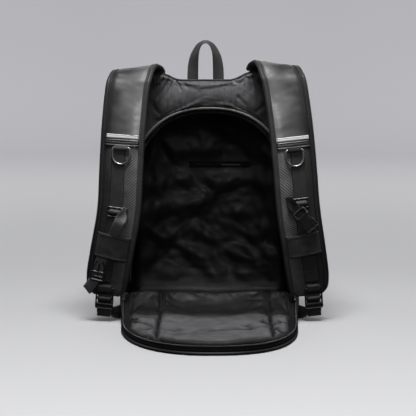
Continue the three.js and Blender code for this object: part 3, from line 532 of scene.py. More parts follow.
# The two shoulder straps
strap = {
    "sections": [  # middle x, y, z, lean and set-back of the outer edge, half width, thickness
        (105, -98, 448, 0, 0, 33, 6), (113, -108, 460, -5, 0, 35, 9), (123, -128, 466, -8, 0, 37, 11),
        (130, -150, 464, -8, 2, 38, 12), (136, -167, 452, -5, 5, 38, 12), (141.7, -178, 431, -1, 7, 38, 12),
        (148.8, -188, 371, 5, 7, 38, 12), (153, -190, 325, 7, 7, 38, 12), (157, -190, 270, 6, 7, 38, 12),
        (159.7, -188, 230, 7, 7, 38, 12), (164, -184, 193, 8, 6, 38, 12), (170.3, -177, 156, 9, 6, 38, 12),
        (176, -168, 122, 9, 6, 38, 12), (181.5, -158, 89, 9, 6, 37.5, 11), (184, -150, 62, 8, 4, 34, 9),
        (185, -147, 50, 8, 2, 22, 7),
    ],
    "fade": 16, "shoulderShade": 24,  # how far the painted shade draws in, towards the keeper and over the shoulder
    "crest": 3, "rows": 190, "frontColumns": 26, "backColumns": 14, "edge": 0.42, "seam": 0.79, "fill": 0.75,
    "face": 0.86,  # share of the width between the bindings; edge is the share of the thickness at the sides
    "crown": 3.2, "flatten": 4.7, "shoulder": (385, 450),  # the face's fullness, lost over the shoulder
    "swells": [(0.9, 34, 1.3, 0), (0.5, 13, 2.4, 3)],  # height, length, lumps across, layer
    "hemUp": 8, "bendAt": (3.6, 1.1), "slackZ": (150, 60), "backShift": 200,
    "fullSpan": (18, 60), "fadeSpan": (-30, -110), "drawnSpan": (10, 40),  # heights measured from the hem
    "barZ": {"left": 325, "right": 321},  # height of the ring's bar
}
sides = {
    "left": {"sign": -1, "outward": 7, "raised": -3.5, "swing": 4.5, "seed": 1.0},
    "right": {"sign": 1, "outward": -7, "raised": 3.5, "swing": -2, "seed": 2.0},
}
# the left side's webbing is painted lighter, for the light on that side
webbingBySide = {"left": litWebbing, "right": webbingCloth}
strapColumns = list(zip(*strap["sections"]))
lastSection = len(strap["sections"]) - 1


def strapSection(side, t):
    own = sides[side]

    def middleAt(at):
        x, y, z = (spline(strapColumns[k], at) for k in range(3))
        fade = (z / strap["sections"][strap["crest"]][2]) ** 2
        aside = own["outward"] * fade + own["swing"] * (1 - smooth(z, 60, 230))
        return Vector((own["sign"] * (x + aside), y, z + own["raised"] * fade))

    lean, back, half, thick = (spline(strapColumns[k], t) for k in range(3, 7))
    along = (middleAt(min(t + 0.02, lastSection)) - middleAt(max(t - 0.02, 0))).normalized()
    turn = math.radians(lean)
    across = Vector((own["sign"] * math.cos(turn), back / (2 * half), math.sin(turn)))
    across = (across - along * across.dot(along)).normalized()
    out = along.cross(across) * own["sign"]
    return {"middle": middleAt(t), "along": along, "across": across, "out": out, "half": half, "thick": thick}


def strapAt(side, z):
    # the section of the front run whose middle is at a height
    low, high = strap["crest"], lastSection
    for k in range(30):
        t = (low + high) / 2
        if strapSection(side, t)["middle"].z > z:
            low = t
        else:
            high = t
    return strapSection(side, low)


def onSection(section, v, lift=0.0, face=1):
    # a point on the strap's face: v from -1 at its inner edge to 1 at its outer edge
    pad = section["thick"] / 2 * (strap["edge"] + (1 - strap["edge"]) * (1 - v ** 4))
    reach = v * (section["half"] + lift * abs(v) ** 5)
    return section["middle"] + section["across"] * reach + section["out"] * face * (pad + lift)


def strapFrame(side, z, across, lift):
    # a local frame on the strap: X towards +X across it, Y up it, Z out of its face
    section = strapAt(side, z)
    x = section["across"] * sides[side]["sign"]
    y = -section["along"]
    frameAt = Matrix((x, y, section["out"])).transposed().to_4x4()
    frameAt.translation = onSection(section, across / section["half"], lift)
    return frameAt


def strapStops(side):
    # values of t for rows that are evenly spaced along the strap, with their running length
    fine = spread(0, lastSection, 600)
    lengths = runningLength([strapSection(side, t)["middle"] for t in fine])
    stops, k = [], 0
    for length in spread(0, lengths[-1], strap["rows"]):
        while k < len(fine) - 2 and lengths[k + 1] < length:
            k += 1
        share = (length - lengths[k]) / (lengths[k + 1] - lengths[k])
        stops.append((lerp(fine[k], fine[k + 1], min(max(share, 0), 1)), length))
    return stops


def makeStrapPad(side, stops):
    # the padded body: leatherette above the hem, twill below it, spacer mesh behind
    wide = strap["face"]
    front = [v * wide for v in spread(-1, 1, strap["frontColumns"])]
    back = [v * wide for v in spread(1, -1, strap["backColumns"])]
    seed = sides[side]["seed"]
    hemZ = strap["barZ"][side] + strap["hemUp"]
    points, uv, upper = [], [], []
    for t, length in stops:
        section = strapSection(side, t)
        z = section["middle"].z
        hanging = t > strap["crest"]
        upper.append(t < strap["crest"] or z > hemZ)
        bend = bump(t, *strap["bendAt"])
        shoulder = smooth(z, *strap["shoulder"])
        full = smoothFrom(z, hemZ, strap["fullSpan"]) if hanging else 1
        crown = strap["crown"] * full - strap["flatten"] * shoulder
        low = smooth(z, *strap["slackZ"]) if hanging else 0
        # painted shade: the tone is shifted darker down the lower run and over the shoulder
        toneDrift = strap["fade"] * smoothFrom(z, hemZ, strap["fadeSpan"]) if hanging else 0
        toneDrift += strap["shoulderShade"] * shoulder
        drawn = smoothFrom(z, hemZ, strap["drawnSpan"]) * (1 - shoulder)
        for v in front:
            groove = 1.5 * smooth(abs(v), strap["seam"] - 0.2, strap["seam"])
            pillow = groove - 0.5 - crown * (1 - (v / wide) ** 2)
            swell = sum(high * wander(length / long, v * lumps, layer, seed)
                        for high, long, lumps, layer in strap["swells"])
            # ripples where it bends over the shoulder, and slack lower down
            swell += bend * 0.6 * wander(length / 5.5, v * 0.8 + length / 40, 9, seed)
            swell += (0.3 + low) * 0.8 * wander(length / 9 + v * 1.5, v * 1.1, 5, seed)
            pull = 1 - smooth(abs(v), 0.55, 0.8)
            # puckers where the inner seam draws the face together
            pucker = drawn * wander(length / 4.5 + v * 2, v * 1.5, 11, seed) * bump(v, -0.62, 0.15)
            points.append(onSection(section, v, swell * pull + 0.9 * pucker - pillow))
            # the puckers shift the tone as well, painting streaks of highlight and shade along the inner seam
            uv.append((v * section["half"] + toneDrift - 5 * pucker, length))
        for v in back:
            points.append(onSection(section, v, 0.6 * wander(length / 20, v * 2, 7, seed) - 0.6, -1))
            uv.append((v * section["half"] + strap["backShift"], length))
    columns = len(front) + len(back)
    faces = tubeFaces(len(stops), columns)
    paint = []
    for i in range(len(stops) - 1):
        for j in range(columns):
            paint.append((0 if upper[i] else 1) if j < len(front) - 1 else 2)
    paint += [2, 2]
    piece = makePiece(f"strap_pad_{side}", points, faces, [leatherette, twill, spacerMesh],
                      [f"strap_{side}"], uv=uv, paint=paint)
    outwards(piece)


# Binding round the edges of a strap
binding = {
    "profile": [(0.775, -1.2), (0.785, 0.2), (0.815, 0.75), (0.85, 0.5), (0.868, -0.25), (0.885, 0.35),
                (0.92, 1.35), (0.96, 1.5), (0.99, 0.9)],  # place across and lift, from the seam to the edge
    "side": 2.0, "sideRows": [(0.62, 0.5), (0, 0), (-0.62, 0.5)],  # round the edge: share of it, set back
    "groove": 0.868, "fullHalf": 30, "apart": 60,
}


def makeBinding(side, stops):
    points, uv = [], []
    count = 2 * len(binding["profile"]) + 3
    for sign in (1, -1):
        for t, length in stops:
            section = strapSection(side, t)
            narrow = min(section["half"] / binding["fullHalf"], 1)
            ring = [onSection(section, sign * v, lift * narrow) for v, lift in binding["profile"]]
            reach = section["half"] + binding["side"]
            edge = section["thick"] / 2 * strap["edge"]
            for share, short in binding["sideRows"]:
                ring.append(section["middle"] + section["across"] * sign * (reach - short)
                            + section["out"] * edge * share)
            behind = reversed(binding["profile"])
            ring += [onSection(section, sign * v, lift * narrow, -1) for v, lift in behind]
            points += ring
            # the inner binding's coordinates are set apart from the outer's, so that the painted light keeps
            # it lighter and the outer one darker
            uv += [(walked + binding["apart"] * sign, length) for walked in runningLength(ring)]
    faces = []
    for part in range(2):
        start = part * len(stops) * count
        faces += [[start + k for k in face] for face in tubeFaces(len(stops), count)]
    piece = makePiece(f"strap_binding_{side}", points, faces, grosgrain, uv=uv)
    return outwards(piece)


# Bands sewn across a strap: height over the ring's bar and lift over the strap
bands = {
    "ripple": 0.25, "endFrom": 0.96, "endDrop": 0.7, "under": -0.6,
    "reflector": [(16.0, 0.1), (16.3, 1.0), (17.2, 1.35), (19.6, 1.4), (21.9, 1.35), (22.8, 1.0),
                  (23.1, 0.1)],
    "hem": [(1.5, 0.1), (1.8, 1.9), (2.8, 2.9), (4.0, 3.1), (5.1, 2.5), (5.7, 1.2), (6.4, 1.7), (8.3, 2.2),
            (10.0, 1.8), (10.6, 1.1), (11.2, 1.6), (12.8, 1.8), (14.2, 1.2), (14.7, 0.1)],
}


def makeBand(name, side, rows, share, material, replaces, seed):
    columns = [v * share for v in spread(-1, 1, 30)]
    points, uv = [], []
    for up, lift in rows:
        section = strapAt(side, strap["barZ"][side] + up)
        for v in columns:
            ripple = bands["ripple"] * wander(v * 5, up / 4, 0, seed) * smooth(lift, 0, 1)
            end = 1 - bands["endDrop"] * smooth(abs(v) / share, bands["endFrom"], 1)
            points.append(onSection(section, v, (lift + ripple) * end))
            uv.append((v * section["half"], up))
    for up, lift in rows:
        section = strapAt(side, strap["barZ"][side] + up)
        points += [onSection(section, v, bands["under"]) for v in columns]
        uv += [(v * section["half"], up) for v in columns]
    faces = slabFaces(len(rows), len(columns))
    return outwards(makePiece(name, points, faces, material, replaces, uv=uv))


def hairpin(bendY, radius, backEnd, frontEnd):
    # webbing doubled round a bar along X: a leg behind, the bend, a leg in front
    bend = []
    for turn in spread(-90, 90, 10):
        a = math.radians(turn)
        bend.append((0, bendY - radius * math.cos(a), radius * math.sin(a)))
    legBack = [(0, y, -radius) for y in spread(backEnd, bendY, 3)[:-1]]
    legFront = [(0, y, radius) for y in spread(bendY, frontEnd, 4)[1:]]
    return legBack + bend + legFront


# The D-ring and the webbing loop that holds its bar
ringSize = {"half": 15.5, "straight": 14, "wire": 2.2, "lift": 4.7, "corner": 4, "rows": 120, "around": 12,
            "tabHalf": 12, "tabThick": 1.6, "tabGap": 1.3, "tabLeg": 5.5}


def makeRing(side):
    frameAt = strapFrame(side, strap["barZ"][side], 0, ringSize["lift"])
    half, corner = ringSize["half"], ringSize["corner"]
    outline = [(-half + corner, 0), (0, 0), (half - corner, 0), (half - 0.3 * corner, -0.3 * corner),
               (half, -corner)]
    for turn in spread(0, 180, 10):
        a = math.radians(turn)
        outline.append((half * math.cos(a), -ringSize["straight"] - half * math.sin(a)))
    outline += [(-half, -corner), (-half + 0.3 * corner, -0.3 * corner)]
    path = smoothPath([(x, y, 0) for x, y in outline], ringSize["rows"], closed=True)
    normals = [Vector((0, 0, 1))] * len(path)
    profile = roundProfile(ringSize["wire"], ringSize["around"])
    points = [frameAt @ p for p in sweep(path, normals, profile, closed=True)]
    faces = loopFaces(len(path), len(profile))
    outwards(makePiece(f"d_ring_wire_{side}", points, faces, gunmetal, [f"d_ring_{side}"],
                       f"ring_{side}"))
    radius = ringSize["wire"] + ringSize["tabGap"]
    path = [frameAt @ Vector(p) for p in hairpin(0, radius, ringSize["tabLeg"], ringSize["tabLeg"])]
    across = [frameAt.to_3x3() @ Vector((1, 0, 0))] * len(path)
    makeRibbon(f"ring_loop_{side}", path, across, ringSize["tabHalf"], ringSize["tabThick"],
               webbingBySide[side], [f"ring_tab_{side}"])


# Webbing sewn down the middle of each strap's lower run
centreWebbing = {"half": 12.5, "thick": 1.7, "lift": 1.5, "aside": 5, "lowZ": 77, "ripple": 0.35, "lump": 17}


def makeCentreWebbing(side):
    path, across = [], []
    seed = sides[side]["seed"]
    for z in spread(strap["barZ"][side] - 1, centreWebbing["lowZ"], 90):
        section = strapAt(side, z)
        lift = centreWebbing["lift"] + centreWebbing["ripple"] * wander(z / centreWebbing["lump"], 0, 0, seed)
        path.append(onSection(section, centreWebbing["aside"] / section["half"], lift))
        across.append(section["across"])
    makeRibbon(f"centre_webbing_{side}", path, across, centreWebbing["half"], centreWebbing["thick"],
               webbingCloth, [f"strap_webbing_{side}"])


# The elastic keeper is sewn in at both bindings and goes over what lies on the strap's face
keepers = {
    "left": {"z": 146, "tall": 44}, "right": {"z": 150, "tall": 39},
    "share": 0.79, "edgeLift": 0.4, "middleLift": 6.4, "thick": 1.5, "hem": 0.7, "sag": 0.9, "crumple": 0.4,
}


def makeKeeper(side):
    own = keepers[side]
    heights = spread(own["z"] + own["tall"] / 2, own["z"] - own["tall"] / 2, 26)
    columns = spread(-1, 1, 36)
    seed = sides[side]["seed"]
    points, uv = [], []
    for layer in (keepers["thick"], 0.0):
        for i, z in enumerate(heights):
            section = strapAt(side, z)
            hem = keepers["hem"] * smooth(abs(i / (len(heights) - 1) - 0.5), 0.36, 0.42)
            for v in columns:
                lift = lerp(keepers["middleLift"], keepers["edgeLift"], v ** 6) + layer * (1 + 0.4 * hem)
                sag = keepers["sag"] * wander(v * 2.2, z / 13, 0, seed)
                sag += keepers["crumple"] * wander(v * 6, z / 30, 2, seed)
                points.append(onSection(section, v * keepers["share"], lift + sag * (1 - v * v)))
                uv.append((z, v * section["half"]))
    faces = slabFaces(len(heights), len(columns))
    outwards(makePiece(f"elastic_keeper_{side}", points, faces, elasticCloth, [f"keeper_{side}"],
                       uv=uv))


# The chest strap's webbing on each strap: height, place across (outwards) and lift over the strap.
# It leaves the slider's eye almost edge on and turns flat within a few centimetres
chest = {
    "half": 10, "thick": 1.7, "lift": 3.3, "twist": {"left": 66, "right": -55}, "untwist": (4, 26),
    "left": [(219, -13, 4.8), (208, -10.5, 10), (195, -6, 14), (182, -2, 10), (171, 1, 3.4), (162, 3.5, 0.2),
             (146, 8, 0), (122, 15, 0), (88, 19, 0), (73, 26.5, 0), (58, 33, 0)],
    "right": [(239, -16.5, 4.6), (230, -14.5, 4.6), (222, -11, 4.8), (214.5, -4.5, 3.6)],
}


def makeChestWebbing(side):
    rows = chest[side]
    path, outs = [], []
    for t in spread(0, len(rows) - 1, 12 * (len(rows) - 1)):
        z, across, over = (spline([row[k] for row in rows], t) for k in range(3))
        section = strapAt(side, z)
        path.append(onSection(section, across / section["half"], chest["lift"] + over))
        outs.append(section["out"])
    across = []
    for ahead, out, length in zip(tangents(path), outs, runningLength(path)):
        turn = math.radians(chest["twist"][side] * (1 - smooth(length, *chest["untwist"])))
        flat = ahead.cross(out)
        across.append(flat * math.cos(turn) + out * math.sin(turn))
    makeRibbon(f"chest_webbing_{side}", path, across, chest["half"], chest["thick"], webbingBySide[side],
               [f"sternum_webbing_{side}"])


for side in sides:
    stops = strapStops(side)
    makeStrapPad(side, stops)
    makeBinding(side, stops)
    makeBand(f"reflective_strip_{side}", side, bands["reflector"], 0.765, retroTape,
             [f"reflector_{side}"], 3)
    makeBand(f"hem_roll_{side}", side, bands["hem"], 0.8, hemCloth, [f"hem_band_{side}"], 5)
    makeRing(side)
    makeCentreWebbing(side)
    makeKeeper(side)
    makeChestWebbing(side)
print("straps made")


def bakeModifiers(piece):
    # the evaluated shape becomes the mesh, and no modifier stays on the piece
    graph = bpy.context.evaluated_depsgraph_get()
    graph.update()
    mesh = bpy.data.meshes.new_from_object(piece.evaluated_get(graph), depsgraph=graph)
    old = piece.data
    piece.modifiers.clear()
    piece.data = mesh
    bpy.data.meshes.remove(old)
    return piece


clothFeel = {"quality": 6, "mass": 0.12, "tension_stiffness": 12, "compression_stiffness": 12,
             "shear_stiffness": 4, "bending_stiffness": 0.08}


def settleCloth(points, faces, sewn, grow, pressure, cap, frames=20):
    # cloth sewn down at some points and cut a little too large swells and wrinkles between them
    mesh = bpy.data.meshes.new("settling")
    mesh.from_pydata([Vector(p) * mm for p in points], [], faces)
    sheet = bpy.data.objects.new("settling", mesh)
    scene.collection.objects.link(sheet)
    group = sheet.vertex_groups.new(name="sewn")
    for index, weight in enumerate(sewn):
        if weight > 0:
            group.add([index], weight, "REPLACE")
    cloth = sheet.modifiers.new("cloth", "CLOTH")
    for name, value in clothFeel.items():
        setattr(cloth.settings, name, value)
    cloth.settings.vertex_group_mass = "sewn"
    cloth.settings.shrink_min = -grow
    cloth.settings.use_pressure = True
    cloth.settings.uniform_pressure_force = pressure
    cloth.settings.effector_weights.gravity = 0
    cloth.collision_settings.use_collision = False
    cloth.point_cache.frame_start = 1
    cloth.point_cache.frame_end = frames
    for frameNumber in range(1, frames + 1):
        scene.frame_set(frameNumber)
    graph = bpy.context.evaluated_depsgraph_get()
    moved = sheet.evaluated_get(graph).data.vertices
    result = []
    for point, vertex in zip(points, moved):
        start = Vector(point)
        shift = vertex.co / mm - start
        if shift.length > cap:
            shift *= cap / shift.length
        result.append(start + shift)
    bpy.data.objects.remove(sheet)
    bpy.data.meshes.remove(mesh)
    scene.frame_set(1)
    return result


# The bag: stations through its depth, with half widths at base and top, height and lowest point
bag = {
    "stations": [(-106.7, 164, 157, 441, 0), (-55, 167, 160, 438, 0), (0, 168, 160, 433, 0),
                 (55, 166, 156, 421, 0), (92, 160, 149, 405, 5)],
    "frontY": -106.7, "seamY": 92, "harnessY": -110, "backY": -107, "middleZ": 205,
    "lowerCorner": 26, "upperCorner": 62, "saddle": 4, "wall": 3.0, "hollow": 2.2, "rows": 44,
    "dome": [(1, 92.3), (0.985, 99), (0.97, 104), (0.93, 110), (0.88, 114), (0.79, 118), (0.68, 121),
             (0.53, 123.5), (0.38, 125), (0.2, 125.8), (0.06, 126)],  # share of the outline, depth
    "broad": 4.2, "folds": 2.6, "crumple": 0.45,  # heights of the slack in the sides
    "faceBroad": 2.4, "faceFolds": 1.4, "faceOut": 0.8,  # and in the outer face
    "domeRings": 40, "outerSeam": 2.0, "backSeam": 2.1, "pipingSides": 8,
}
bagMiddle = Vector((0, 0, bag["middleZ"]))
outlineCounts = {"base": 14, "lower": 8, "side": 30, "upper": 16, "top": 20}


def mirrored(half):
    return half + [(-x, z) for x, z in reversed(half[1:-1])]


def stationAt(y):
    rows = bag["stations"]
    k = max(i for i in range(len(rows) - 1) if rows[i][0] <= y or i == 0)
    t = k + (y - rows[k][0]) / (rows[k + 1][0] - rows[k][0])
    return [spline([row[c] for row in rows], min(t, len(rows) - 1)) for c in range(1, 5)]


def bagOutline(y, inset=0.0):
    halfBase, halfTop, top, floor = stationAt(y)
    lower, upper = bag["lowerCorner"] - inset, bag["upperCorner"] - inset
    halfBase, halfTop, top, floor = halfBase - inset, halfTop - inset, top - inset, floor + inset
    counts = outlineCounts
    half = [(k / counts["base"] * (halfBase - lower), floor) for k in range(counts["base"])]
    for k in range(counts["lower"]):
        a = k / counts["lower"] * math.pi / 2
        half.append((halfBase - lower * (1 - math.sin(a)), floor + lower * (1 - math.cos(a))))
    for k in range(counts["side"]):
        f = k / counts["side"]
        half.append((lerp(halfBase, halfTop, f), lerp(floor + lower, top - upper, f)))
    for k in range(counts["upper"]):
        a = k / counts["upper"] * math.pi / 2
        half.append((halfTop - upper * (1 - math.cos(a)), top - upper * (1 - math.sin(a))))
    half += [(x, top) for x in spread(halfTop - upper, 0, counts["top"])]
    front = smooth(-y, 20, -bag["frontY"])
    outline = []
    for x, z in mirrored(half):
        root = smooth(abs(x), 45, 85) * (1 - smooth(abs(x), 120, 150))
        outline.append(Vector((x, y, z + smooth(z, top - upper, top) * root * bag["saddle"] * front)))
    return outline


lowStart = outlineCounts["base"] + outlineCounts["lower"]  # column where the base panel ends
columnCount = 2 * (sum(outlineCounts.values()))


def sagging(p, out):
    # slack cloth between the seams: broad hollows and a few standing folds, none on the ground
    hold = smooth(p.y, -106, -70) * (1 - smooth(p.y, 62, 92)) * smooth(p.z, 24, 70)
    broad = bag["broad"] * wander(p.y / 70, p.z / 95, p.x / 200, 4)
    folds = bag["folds"] * wander(p.y / 24 + p.z / 130, p.z / 60, p.x / 80, 6)
    crumple = bag["crumple"] * wander(p.y / 9, p.z / 11, p.x / 15, 8)
    slack = broad + folds + crumple
    if slack < 0:  # hollows stay shallower than the wall is thick
        slack = -bag["hollow"] * (1 - math.exp(slack / bag["hollow"]))
    q = p + out * hold * slack
    q.z = max(q.z, 0)
    return q


def outAt(row, j):
    # the direction away from the bag at a point of an outline
    ahead = row[(j + 1) % columnCount] - row[j - 1]
    return Vector((ahead.z, 0, -ahead.x)).normalized()


def makeSides():
    # the gusset over the sides and top, and the base panel under them
    ys = spread(bag["frontY"], bag["seamY"], bag["rows"])
    outer = []
    for y in ys:
        row = bagOutline(y)
        outer.append([sagging(p, outAt(row, j)) for j, p in enumerate(row)])
    inner = [bagOutline(y, bag["wall"]) for y in ys]
    over = list(range(lowStart, columnCount - lowStart + 1))
    under = [k % columnCount for k in range(columnCount - lowStart, columnCount + lowStart + 1)]
    for name, columns, node in (("side_gusset", over, "gusset"), ("base", under, "base_panel")):
        points = [skin[i][j] for skin in (outer, inner) for i in range(len(ys)) for j in columns]
        faces = slabFaces(len(ys), len(columns))
        outwards(makePiece(name, points, faces, laminatedPolyester, [node]))


def makeOuterFace():
    seam = bagOutline(bag["seamY"])
    outside = []
    rings = fineRings(bag["dome"], bag["domeRings"])
    for share, y in rings:
        slack = smooth(1 - share, 0.02, 0.2)
        for p in seam:
            q = Vector((p.x * share, y, lerp(bag["middleZ"], p.z, share)))
            broad = bag["faceBroad"] * wander(q.x / 75, q.z / 60, 0, 11)
            folds = bag["faceFolds"] * wander(q.x / 30, q.z / 18, 0, 12)
            q.y += slack * (broad + folds + bag["faceOut"])
            outside.append(q)
    inside = [p - Vector((0, bag["wall"], 0)) + (bagMiddle - p) * 0.012 for p in outside]
    faces = doubleSkin(len(rings), columnCount)
    outwards(makePiece("outer_face", outside + inside, faces, laminatedPolyester,
                       ["outer_panel"]))
    edge = [p + Vector((0, 0.4, 0)) for p in seam]
    makePipingLoop("outer_seam_piping", edge, bag["outerSeam"], darkPiping)


def makeBackSeam():
    seam = []
    for p in bagOutline(bag["frontY"]):
        away = Vector((p.x, 0, p.z - bag["middleZ"])).normalized() * 1.6
        rise = yokeRise(p.x) * smooth(p.z, yoke["fromZ"], yoke["toZ"])
        seam.append(p + away + Vector((0, -1.2, rise)))
    makePipingLoop("back_seam_piping", seam, bag["backSeam"], darkPiping, lowest=2.3)


def fineRings(rings, count):
    # more rings between the given ones, as (share of the outline, depth)
    stops = spread(0, len(rings) - 1, count)
    return [tuple(spline([ring[c] for ring in rings], t) for c in range(2)) for t in stops]


def makePipingLoop(name, path, radius, material, replaces=(), closed=True, lowest=None):
    path = [Vector((p.x, p.y, max(p.z, lowest))) if lowest is not None else p for p in path]
    around = bag["pipingSides"]
    profile = roundProfile(radius, around)
    across = [Vector((0, 1, 0.02))] * len(path)
    points = sweep(path, across, profile, closed)
    lengths = runningLength(path)
    uv = [(radius * 2 * math.pi * k / around, length) for length in lengths for k in range(around)]
    faces = loopFaces(len(path), around) if closed else tubeFaces(len(path), around)
    return outwards(makePiece(name, points, faces, material, replaces, uv=uv))


# The arched opening, with grey piping round it and the zip's tape behind
opening = {"sillZ": 45, "corner": 12, "halfSill": 158, "halfSpring": 154, "springZ": 204, "rise": 190,
           "power": 2.36, "pipingInset": 2.2, "pipingOut": 3.2, "pipingRadius": 2.4,
           "tapeInset": 6.0, "tapeIn": 1.4, "tapeHalf": 5.2, "tapeThick": 1.3}


def openingOutline(inset=0.0):
    # the arched opening in the back panel, with as many points as the bag's outline
    counts = outlineCounts
    halfSill, halfSpring = opening["halfSill"] - inset, opening["halfSpring"] - inset
    sill, corner = opening["sillZ"] + inset, opening["corner"]
    half = [(k / counts["base"] * (halfSill - corner), sill) for k in range(counts["base"])]
    for k in range(counts["lower"]):
        a = k / counts["lower"] * math.pi / 2
        half.append((halfSill - corner * (1 - math.sin(a)), sill + corner * (1 - math.cos(a))))
    for k in range(counts["side"]):
        f = k / counts["side"]
        half.append((lerp(halfSill, halfSpring, f), lerp(sill + corner, opening["springZ"], f)))
    power = 2 / opening["power"]
    for a in spread(0, math.pi / 2, counts["upper"] + counts["top"]):
        x = halfSpring * max(math.cos(a), 0) ** power
        z = opening["springZ"] + (opening["rise"] - inset) * math.sin(a) ** power
        half.append((x if a < math.pi / 2 - 1e-6 else 0, z))
    return mirrored(half)


def overArch(outline):
    return outline[lowStart:len(outline) - lowStart + 1]


# The padded yoke over the arch: wrinkles fan out from the strap roots and pucker along the seams
yoke = {"bulge": 12.5, "strip": 3, "turnAway": (80, 110, 0.7), "fine": (4, 2),
        "profile": [(0, 0), (0.03, 0.3), (0.06, 0.46), (0.1, 0.6), (0.15, 0.72), (0.2, 0.8), (0.26, 0.87),
                    (0.32, 0.93), (0.4, 0.98), (0.48, 1), (0.62, 0.96), (0.72, 0.88), (0.8, 0.79),
                    (0.87, 0.66), (0.93, 0.49), (0.97, 0.32), (1, 0)],  # share of the width, fullness
        "fromZ": 300, "toZ": 400, "rows": 22, "roots": [(-101, 452), (98, 454)],
        "rise": {-1: (58, 88, 8), 1: (34, 80, 12)},  # the top seam under each strap: from, to, height
        "riseEnds": (118, 140), "spokes": 3.2, "lumps": 0.8, "crumple": 0.25,
        # puckers: share of the width where the seam is, reach, depth, spacing, run, seed
        "gathers": [(0, 0.5, 1.7, 9, 70, 5), (1, 0.4, 1.2, 8, 60, 6)],
        # painted shade begins beyond this half width and below this height
        "shadeHalf": 62, "shadeZ": 398,
        "grow": 0.004, "pressure": 1.0, "cap": 3, "fill": 0.7,
        "creases": [((-75, 442), (-93, 411), 6.5, 3.2), ((-66, 442), (-79, 416), 4.0, 2.6),
                    ((-60, 440), (-53, 426), 4.5, 2.6), ((-112, 402), (-92, 382), 5.0, 3.2),
                    ((-84, 444), (-104, 416), 5.5, 3.0), ((-50, 440), (-40, 430), 2.4, 3.0),
                    ((66, 448), (58, 436), 4.0, 2.8), ((80, 448), (92, 414), 6.0, 3.0),
                    ((72, 447), (78, 424), 4.0, 2.6), ((103, 398), (86, 385), 4.4, 3.0),
                    ((112, 400), (118, 372), 4.0, 3.6), ((92, 440), (108, 416), 5.0, 3.0),
                    ((52, 412), (66, 398), 2.4, 3.4)]}


def creaseDepth(x, z, crease):
    (x0, z0), (x1, z1), depth, wide = crease
    run = Vector((x1 - x0, z1 - z0))
    f = min(max(Vector((x - x0, z - z0)).dot(run) / run.length_squared, 0), 1)
    away = (Vector((x, z)) - Vector((x0, z0)) - run * f).length
    return depth * bump(away, 0, wide) * (1 - 0.6 * f)


def gather(across, along, seed):
    # narrow creases between softer swells, as along a seam that draws the cloth together
    swing = wander(across, along, 0, seed)
    return bump(swing, 0, 0.14) - 0.6 * abs(swing)


def yokeRise(x):
    # how far the top seam is drawn up under a strap
    start, end, height = yoke["rise"][-1 if x < 0 else 1]
    return height * smooth(abs(x), start, end) * (1 - smooth(abs(x), *yoke["riseEnds"]))


def profileAt(rows, at):
    # a height from a list of (place, height), straight between them
    k = max(i for i in range(len(rows) - 1) if rows[i][0] <= at or i == 0)
    return lerp(rows[k][1], rows[k + 1][1], (at - rows[k][0]) / (rows[k + 1][0] - rows[k][0]))


def makeYoke():
    inner = openingOutline()
    outer = bagOutline(bag["frontY"])
    shares = [0.5 - 0.5 * math.cos(math.pi * k / yoke["rows"]) for k in range(yoke["rows"] + 1)]
    points, sewn = [], []
    for share in shares:
        for (x0, z0), p in zip(inner, outer):
            x, z = lerp(x0, p.x, share), lerp(z0, p.z, share)
            z += yokeRise(x) * smooth(share, 0.45, 1)
            high = smooth(z, yoke["fromZ"], yoke["toZ"])
            arc = profileAt(yoke["profile"], share)
            near, far, most = yoke["turnAway"]  # the pad sinks in beside the straps
            swell = lerp(yoke["strip"], yoke["bulge"] * (1 - most * smooth(abs(x), near, far)), high)
            for rx, rz in yoke["roots"]:
                away = math.hypot(x - rx, z - rz)
                angle = math.atan2(z - rz, x - rx)
                swell += high * yoke["spokes"] * wander(angle * 5, away / 80, 0, 3) * math.exp(-away / 60)
            points.append(Vector((x, bag["harnessY"] - arc * swell, z)))
            sewn.append(1.0 if share < 0.004 or share > 0.996 or z < yoke["fromZ"] else 0.0)
    faces = gridFaces(len(shares), columnCount, wrap=True)
    settled = settleCloth(points, faces, sewn, yoke["grow"], yoke["pressure"], yoke["cap"])
    wide, tall = columnCount * yoke["fine"][0], (len(shares) - 1) * yoke["fine"][1] + 1
    face = refineGrid(settled, len(shares), columnCount, *yoke["fine"])
    for k, p in enumerate(face):
        share = k // wide / (tall - 1)
        high = smooth(p.z, yoke["fromZ"], yoke["toZ"]) * smooth(share, 0, 0.12) * smooth(1 - share, 0, 0.06)
        fold = sum(creaseDepth(p.x, p.z, crease) for crease in yoke["creases"])
        for seam, reach, depth, spacing, run, seed in yoke["gathers"]:
            fold += depth * gather(p.x / spacing, p.z / run, seed) * bump(share, seam, reach)
        lumps = yoke["lumps"] * wander(p.x / 15, p.z / 26, 0, 7)
        crumple = yoke["crumple"] * wander(p.x / 5, p.z / 6, 0, 8)
        fold -= lumps + crumple
        p.y = min(p.y + high * fold, bag["harnessY"])
        p.z = max(p.z, 0)
    # across, the cloth is measured from the yoke's middle, so that its painted light gives way to painted
    # shade towards the sides and the bottom
    uv = [(max(abs(p.x), yoke["shadeHalf"] + (yoke["shadeZ"] - p.z) * 0.5), p.z) for p in face]
    rear = [Vector((p.x, bag["backY"], p.z)) for p in face]
    faces = doubleSkin(tall, wide, shut=False)
    piece = outwards(makePiece("back_yoke", face + rear, faces, coatedNylon, ["back_panel"],
                               uv=uv + uv))


def makeOpeningTrim():
    arch = overArch(openingOutline(opening["pipingInset"]))
    path = [Vector((x, bag["harnessY"] - opening["pipingOut"], z)) for x, z in arch]
    makePipingLoop("arch_piping", path, opening["pipingRadius"], greyPiping,
                   ["opening_piping"], closed=False)
    tape = overArch(openingOutline(opening["tapeInset"]))
    path = [Vector((x, bag["backY"] + opening["tapeIn"], z)) for x, z in tape]
    across = [Vector((ahead.z, 0, -ahead.x)) for ahead in tangents(path)]
    makeRibbon("arch_zip_tape", path, across, opening["tapeHalf"], opening["tapeThick"], zipTape,
               ["opening_zip"])


